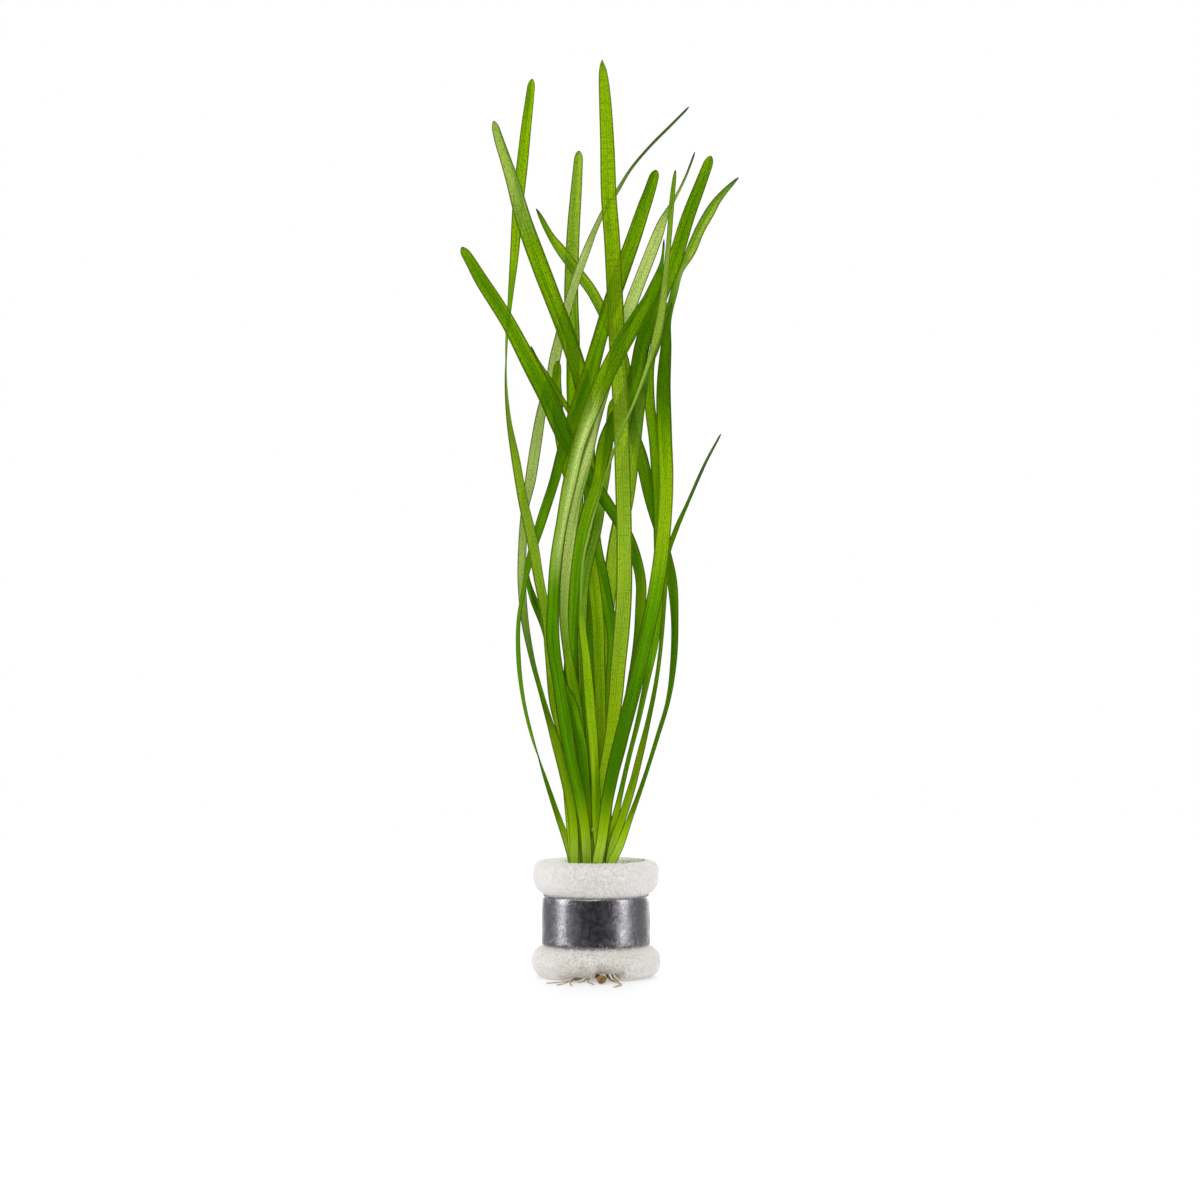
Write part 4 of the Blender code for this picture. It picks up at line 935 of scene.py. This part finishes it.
class Look:
    """The nodes of a material or of the world, with short names for what is used often."""

    def __init__(self, owner):
        owner.use_nodes = True
        self.owner = owner
        self.tree = owner.node_tree

    def put(self, value, socket):
        """Links a node or a socket to this input, or sets it to a plain value."""
        if isinstance(value, bpy.types.Node):
            value = value.outputs[0]
        if isinstance(value, bpy.types.NodeSocket):
            self.tree.links.new(value, socket)
        elif socket.type == "RGBA":
            socket.default_value = (*value, 1.0)
        else:
            socket.default_value = value

    def fill(self, node, **inputs):
        for name, value in inputs.items():
            self.put(value, node.inputs[name.replace("_", " ")])

    def node(self, kind, *values, operation=None, **inputs):
        """A new node, its first inputs given in their order and others by name."""
        node = self.tree.nodes.new("ShaderNode" + kind)
        if operation:
            node.operation = operation
        for value, socket in zip(values, node.inputs):
            self.put(value, socket)
        self.fill(node, **inputs)
        return node

    def attribute(self, name):
        node = self.node("Attribute")
        node.attribute_name = name
        return node.outputs["Fac"]

    def object_place(self):
        return self.node("TexCoord").outputs["Object"]

    def maths(self, operation, first, *others):
        """The result of a Math node."""
        return self.node("Math", first, *others, operation=operation).outputs[0]

    def chain(self, operation, first, *others):
        """The sum, the product or the highest of several values."""
        for value in others:
            first = self.maths(operation, first, value)
        return first

    def times(self, *values):
        return self.chain("MULTIPLY", *values)

    def share(self, part, first, second):
        """So large a part of the first value, and the rest of the second."""
        return self.maths("MULTIPLY_ADD", first, part, self.times(second, 1.0 - part))

    def span(self, value, name):
        start, end = SPANS[name]
        return self.maths("MULTIPLY_ADD", value, end - start, start)

    def ramp(self, value, *limits):
        node = self.node("MapRange", value, *limits)
        node.interpolation_type = "SMOOTHSTEP"
        return node.outputs[0]

    def step(self, value, name):
        return self.ramp(value, *STEPS[name])

    def layers(self, colour, *others):
        """This colour with others over it, each of them given after its share from 0 to 1."""
        for share, over in others:
            node = self.node("Mix", share)
            node.data_type = "RGBA"
            for value, socket in zip((colour, over), COLOUR_INPUTS):
                self.put(value, node.inputs[socket])
            colour = node.outputs[COLOUR_OUTPUT]
        return colour

    def noise(self, place, name):
        settings = dict(zip(("Scale", "Detail", "Roughness"), NOISES[name]))
        return self.node("TexNoise", Vector=place, **settings).outputs[0]

    def cells(self, place, scale):
        return self.node("TexVoronoi", Vector=place, Scale=scale).outputs["Distance"]

    def bump(self, height, depth, strength=1.0):
        """A surface normal for this relief, whose full height is depth in metres."""
        return self.node("Bump", Height=height, Distance=depth, Strength=strength).outputs[0]

    def finish(self, colour, roughness, normal, **others):
        """Fills the material's own shader and gives the material back."""
        self.fill(self.shader(), Base_Color=colour, Roughness=roughness, Normal=normal, **others)
        return self.owner

    def shader(self):
        return self.tree.nodes["Principled BSDF"]

    def show(self, shader):
        """Makes this shader the material's surface and gives the material back."""
        self.fill(self.tree.nodes["Material Output"], Surface=shader)
        return self.owner


def new_look(name):
    return Look(bpy.data.materials.new(name))


def greens(look, value, colours):
    """A colour from the darkest green to the most yellow one as value goes from 0 to 1."""
    node = look.node("ValToRGB", value)
    dark, middle, yellow = colours
    node.color_ramp.elements[0].color = (*dark, 1.0)
    node.color_ramp.elements[1].color = (*yellow, 1.0)
    node.color_ramp.elements.new(0.5).color = (*middle, 1.0)
    return node.outputs["Color"]


def leaf_look():
    """A thin leaf that light shines through: lengthwise veins, specks, cross lines and dark margins, with a
    painted sheen on its pale stretches and painted shade where it is turned edge-on.
    """
    look = new_look("leaf_blade")
    side = look.attribute("side")
    across = look.attribute("across_mm")
    along = look.attribute("along_mm")
    from_base = look.attribute("base_mm")
    seed = look.attribute("seed")
    off_centre = look.maths("ABSOLUTE", side)

    def leaf_noise(name):
        """A noise that runs along the leaf and differs from leaf to leaf."""
        across_step, along_step = LEAF_NOISES[name]
        place = (look.times(across, across_step), look.times(along, along_step), seed)
        return look.noise(look.node("CombineXYZ", *place), name)

    streaks = leaf_noise("leaf_streaks")
    bands = leaf_noise("leaf_bands")
    grain = look.noise(look.node("CombineXYZ", across, along, seed), "leaf_grain")
    vein_at = look.maths("PINGPONG", look.maths("MULTIPLY_ADD", side, VEIN_COUNT / 2.0, 0.5), 0.5)
    vein = look.step(vein_at, "vein")
    specks = look.times(
        look.step(leaf_noise("leaf_specks"), "specks"), look.span(vein, "specks_by_vein"),
        look.step(from_base, "specks_from_base"),
    )
    cross = look.times(
        look.step(leaf_noise("leaf_cross"), "cross"), look.attribute("lines"),
        look.step(off_centre, "cross_to_margin"),
    )
    margin = look.step(off_centre, "margin")
    base = look.step(from_base, "base")
    # How far the leaf is turned edge-on to the camera: there painted shade darkens it, and it turns solid
    narrow = look.step(look.attribute("edge_on"), "narrow")

    # How yellow the leaf is, with the painted shade and light of its tone shifts, its random tone, and
    # painted shade where it is edge-on
    varied = look.chain(
        "ADD", look.attribute("yellow"), look.span(leaf_noise("leaf_tone"), "tone_shift"),
        look.span(streaks, "streak_shift"), look.span(bands, "band_shift"),
        look.span(narrow, "edge_on_shade_shift"),
    )
    # The pale stretch is a painted sheen, patchy along the bands and streaks
    patchy = look.share(SHEEN_BY_BANDS, bands, streaks)
    painted_sheen = look.times(look.attribute("pale"), look.step(patchy, "painted_sheen"))
    lines = look.chain(
        "MAXIMUM", look.span(vein, "vein_line"), look.span(look.step(off_centre, "midrib"), "midrib_line"),
        look.span(specks, "speck_line"), look.span(cross, "cross_line"),
    )
    lines = look.times(lines, look.span(narrow, "narrow_lines"))
    tip_end = look.maths("MAXIMUM", look.attribute("dark_tip_mm"), DARK_TIP_LEAST)
    tip = look.ramp(along, look.times(tip_end, DARK_TIP_FULL), tip_end, 1.0, 0.0)
    dark = look.maths("MAXIMUM", look.step(off_centre, "tip_rim"), look.step(along, "tip_end"))
    tip = look.times(tip, dark)

    def coloured(leaf_colours, pale_colour, base_colour):
        return look.layers(
            greens(look, varied, leaf_colours),
            # Painted sheen
            (painted_sheen, pale_colour),
            (look.span(base, "base_colour"), base_colour),
            (look.step(from_base, "sheath"), pale_colour),
            (lines, LEAF_VEIN),
            (look.span(margin, "margin_colour"), LEAF_MARGIN),
            # Painted shade where the leaf is turned edge-on
            (look.span(narrow, "edge_on_shade_colour"), LEAF_EDGE_ON_SHADE),
            (tip, LEAF_TIP),
        )

    relief = look.chain(
        "ADD", look.span(grain, "grain_relief"), look.span(vein, "vein_relief"),
        look.span(specks, "speck_relief"),
    )
    normal = look.bump(relief, LEAF_RELIEF)
    surface = coloured(LEAF_SURFACE, LEAF_PALE, LEAF_BASE)
    look.finish(surface, look.span(grain, "leaf_roughness"), normal, Specular_IOR_Level=LEAF_SPECULAR)
    lit = coloured(LEAF_LIT, LEAF_LIT_PALE, LEAF_LIT_BASE)
    clear = look.node("BsdfTransparent", Color=lit)
    glow = look.node("BsdfTranslucent", Color=lit, Normal=normal)
    through = look.node("MixShader", LEAF_SCATTER, clear, glow)
    solid = look.chain(
        "MAXIMUM", look.span(base, "base_solid"), look.span(painted_sheen, "sheen_solid"),
        look.span(look.step(from_base, "thick"), "thick_solid"), narrow, margin, tip, LEAF_SOLID,
    )
    return look.show(look.node("MixShader", solid, through, look.shader()))


def foam_look():
    """Open-cell foam: matte and off-white, with painted shade down in its pits, strongest low down and near
    the middle of the front and back, and a warmer tone towards the bottom.
    """
    look = new_look("foam_cells")
    place = look.object_place()
    pores = look.step(look.cells(place, FOAM_PORE_CELLS), "foam_pores")
    low = look.step(look.attribute("height_mm"), "foam_low")
    # Painted shade in the pits, strongest low down and near the middle of the front and the back
    pit_shade = look.times(look.span(low, "foam_pit_shade"), look.step(look.attribute("off_mm"), "foam_middle"))
    depth = look.step(look.attribute("pit"), "foam_depth")
    tone = look.noise(place, "foam_tone")
    # A random warm, slightly darker tone, more of it towards the bottom
    warmth = look.maths("ADD", look.span(tone, "foam_warm"), look.span(low, "foam_warm_low"))
    colour = look.layers(FOAM_WHITE, (look.times(depth, pit_shade), FOAM_PIT_SHADE), (warmth, FOAM_WARM))
    relief = look.share(FOAM_RELIEF_FINE, look.cells(place, FOAM_FINE_CELLS), pores)
    roughness = look.span(pores, "foam_roughness")
    return look.finish(colour, roughness, look.bump(relief, FOAM_RELIEF), **FOAM_SCATTER)


def lead_look():
    """Rolled lead: dull and dark, with brighter worn patches, scuffed edges and fine specks."""
    look = new_look("lead_sheet")
    place = look.object_place()
    blotch, patches, flecks, scuffed = (
        look.noise(place, name)
        for name in ("lead_blotch", "lead_patches", "lead_flecks", "lead_scuffed")
    )
    near_edge = look.step(look.attribute("edge_mm"), "lead_edge")
    near_edge = look.times(near_edge, look.step(scuffed, "lead_scuffed"))
    scuff = look.times(
        look.step(patches, "lead_patches"), look.step(flecks, "lead_flecks"),
        look.span(near_edge, "lead_scuff"),
    )
    worn = look.step(look.share(LEAD_WORN_PATCHES, patches, blotch), "lead_worn")
    colour = look.layers(LEAD_DARK, (worn, LEAD_WORN), (scuff, LEAD_BRIGHT))
    roughness = look.step(look.share(LEAD_ROUGH_FLECKS, flecks, patches), "lead_roughness")
    relief = look.share(LEAD_RELIEF_PATCHES, patches, flecks)
    return look.finish(colour, roughness, look.bump(relief, LEAD_RELIEF), Metallic=1.0)


def root_look():
    look = new_look("root_fibre")
    lengthwise = look.node("CombineXYZ", look.attribute("along_mm"), look.attribute("seed"))
    bands = look.noise(lengthwise, "root_bands")
    grain = look.noise(look.object_place(), "root_grain")
    brown = look.step(bands, "root_bands")
    colour = look.layers(ROOT_BEIGE, (brown, ROOT_BROWN), (look.span(grain, "root_grain"), ROOT_PALE))
    return look.finish(colour, look.span(grain, "root_roughness"), look.bump(grain, ROOT_RELIEF))


def runner_look():
    look = new_look("runner_bark")
    place = look.object_place()
    patches = look.noise(place, "runner_patches")
    grain = look.noise(place, "runner_grain")
    brown = look.step(patches, "runner_patches")
    beige = look.step(grain, "runner_grain")
    colour = look.layers(RUNNER_ORANGE, (brown, RUNNER_BROWN), (beige, ROOT_BEIGE))
    normal = look.bump(look.maths("ADD", patches, look.span(grain, "runner_grain")), RUNNER_RELIEF)
    return look.finish(colour, look.span(grain, "runner_roughness"), normal)


def crown_look():
    look = new_look("crown_sheath")
    place = look.object_place()
    stretched = look.node("Mapping", Vector=place, Scale=CROWN_STRETCH)
    ribs = look.noise(stretched, "crown_ribs")
    tone = look.noise(place, "crown_tone")
    green = look.step(tone, "crown_tone")
    colour = look.layers(CROWN_PALE, (green, CROWN_GREEN), (look.span(ribs, "crown_ribs"), CROWN_LIGHT))
    return look.finish(colour, look.span(ribs, "crown_roughness"), look.bump(ribs, CROWN_RELIEF))


def floor_look():
    """A pale floor that takes shadows near the bunch and fades to the white of the surround."""
    look = new_look("studio_floor")
    place = look.object_place()
    colour = look.layers(FLOOR_WHITE, (look.noise(place, "floor_tone"), FLOOR_PALE))
    normal = look.bump(look.noise(place, "floor_grain"), FLOOR_RELIEF, FLOOR_BUMP)
    look.finish(colour, FLOOR_ROUGHNESS, normal)
    distance = look.node("VectorMath", place, operation="LENGTH").outputs["Value"]
    glow = look.node("Emission", Strength=look.step(distance, "floor_glow"))
    return look.show(look.node("MixShader", look.step(distance, "floor_fade"), look.shader(), glow))


def add_floor():
    shape = bmesh.new()
    bmesh.ops.create_circle(shape, cap_ends=True, segments=FLOOR_SIDES, radius=FLOOR_RADIUS)
    mesh = bpy.data.meshes.new("studio_floor")
    shape.to_mesh(mesh)
    shape.free()
    mesh.materials.append(floor_look())
    floor = put_in_scene("studio_floor", mesh)
    floor.visible_glossy = False


def add_light(name, place, aim, size, watts):
    """A rectangular softbox that the camera doesn't see."""
    data = bpy.data.lights.new(name, "AREA")
    data.shape = "RECTANGLE"
    data.size, data.size_y = size
    data.energy = watts
    light = put_in_scene(name, data)
    light.location = place
    light.rotation_euler = (Vector(aim) - Vector(place)).to_track_quat("-Z", "Y").to_euler()
    light.visible_camera = False


def add_world():
    """A white surround to look at, and a dimmer one, darkest in front, that lights the bunch."""
    world = bpy.data.worlds.new("studio")
    bpy.context.scene.world = world
    look = Look(world)
    look.tree.nodes.clear()
    way = look.node("SeparateXYZ", look.node("TexCoord").outputs["Generated"]).outputs["Y"]
    lit = look.node("Background", SURROUND_LIGHT, look.step(way, "ambient"))
    seen = look.node("Background", SURROUND_SEEN)
    by_camera = look.node("LightPath").outputs["Is Camera Ray"]
    look.node("OutputWorld", look.node("MixShader", by_camera, lit, seen))


def add_camera():
    data = bpy.data.cameras.new("photograph")
    data.sensor_width = SENSOR_MM
    data.lens = SENSOR_MM * CAMERA_DISTANCE / VIEW_WIDTH
    camera = put_in_scene("photograph", data)
    camera.location = (0.0, -CAMERA_DISTANCE, CAMERA_HEIGHT)
    camera.rotation_euler = (0.5 * math.pi, 0.0, 0.0)
    bpy.context.scene.camera = camera


def build_studio():
    add_camera()
    add_world()
    add_floor()
    for light in LIGHTS:
        add_light(*light)
    view = bpy.context.scene.view_settings
    view.view_transform = "Standard"
    view.look = "None"
    view.exposure = 0.0
    view.gamma = 1.0


def build_bunch():
    blade = leaf_look()
    for seed, (name, leaf) in enumerate(LEAVES.items(), start=1):
        add_leaf(name, leaf, seed, blade)
    fibre = root_look()
    for seed, (name, root) in enumerate(ROOTS.items(), start=1):
        add_root(name, root, seed, fibre)
    sheath = crown_look()
    for seed, (name, crown) in enumerate(CROWNS.items(), start=1):
        add_crown(name, crown, seed, sheath)
    add_runner(runner_look())
    add_foam(foam_look())
    add_band(lead_look())


build_studio()
build_bunch()
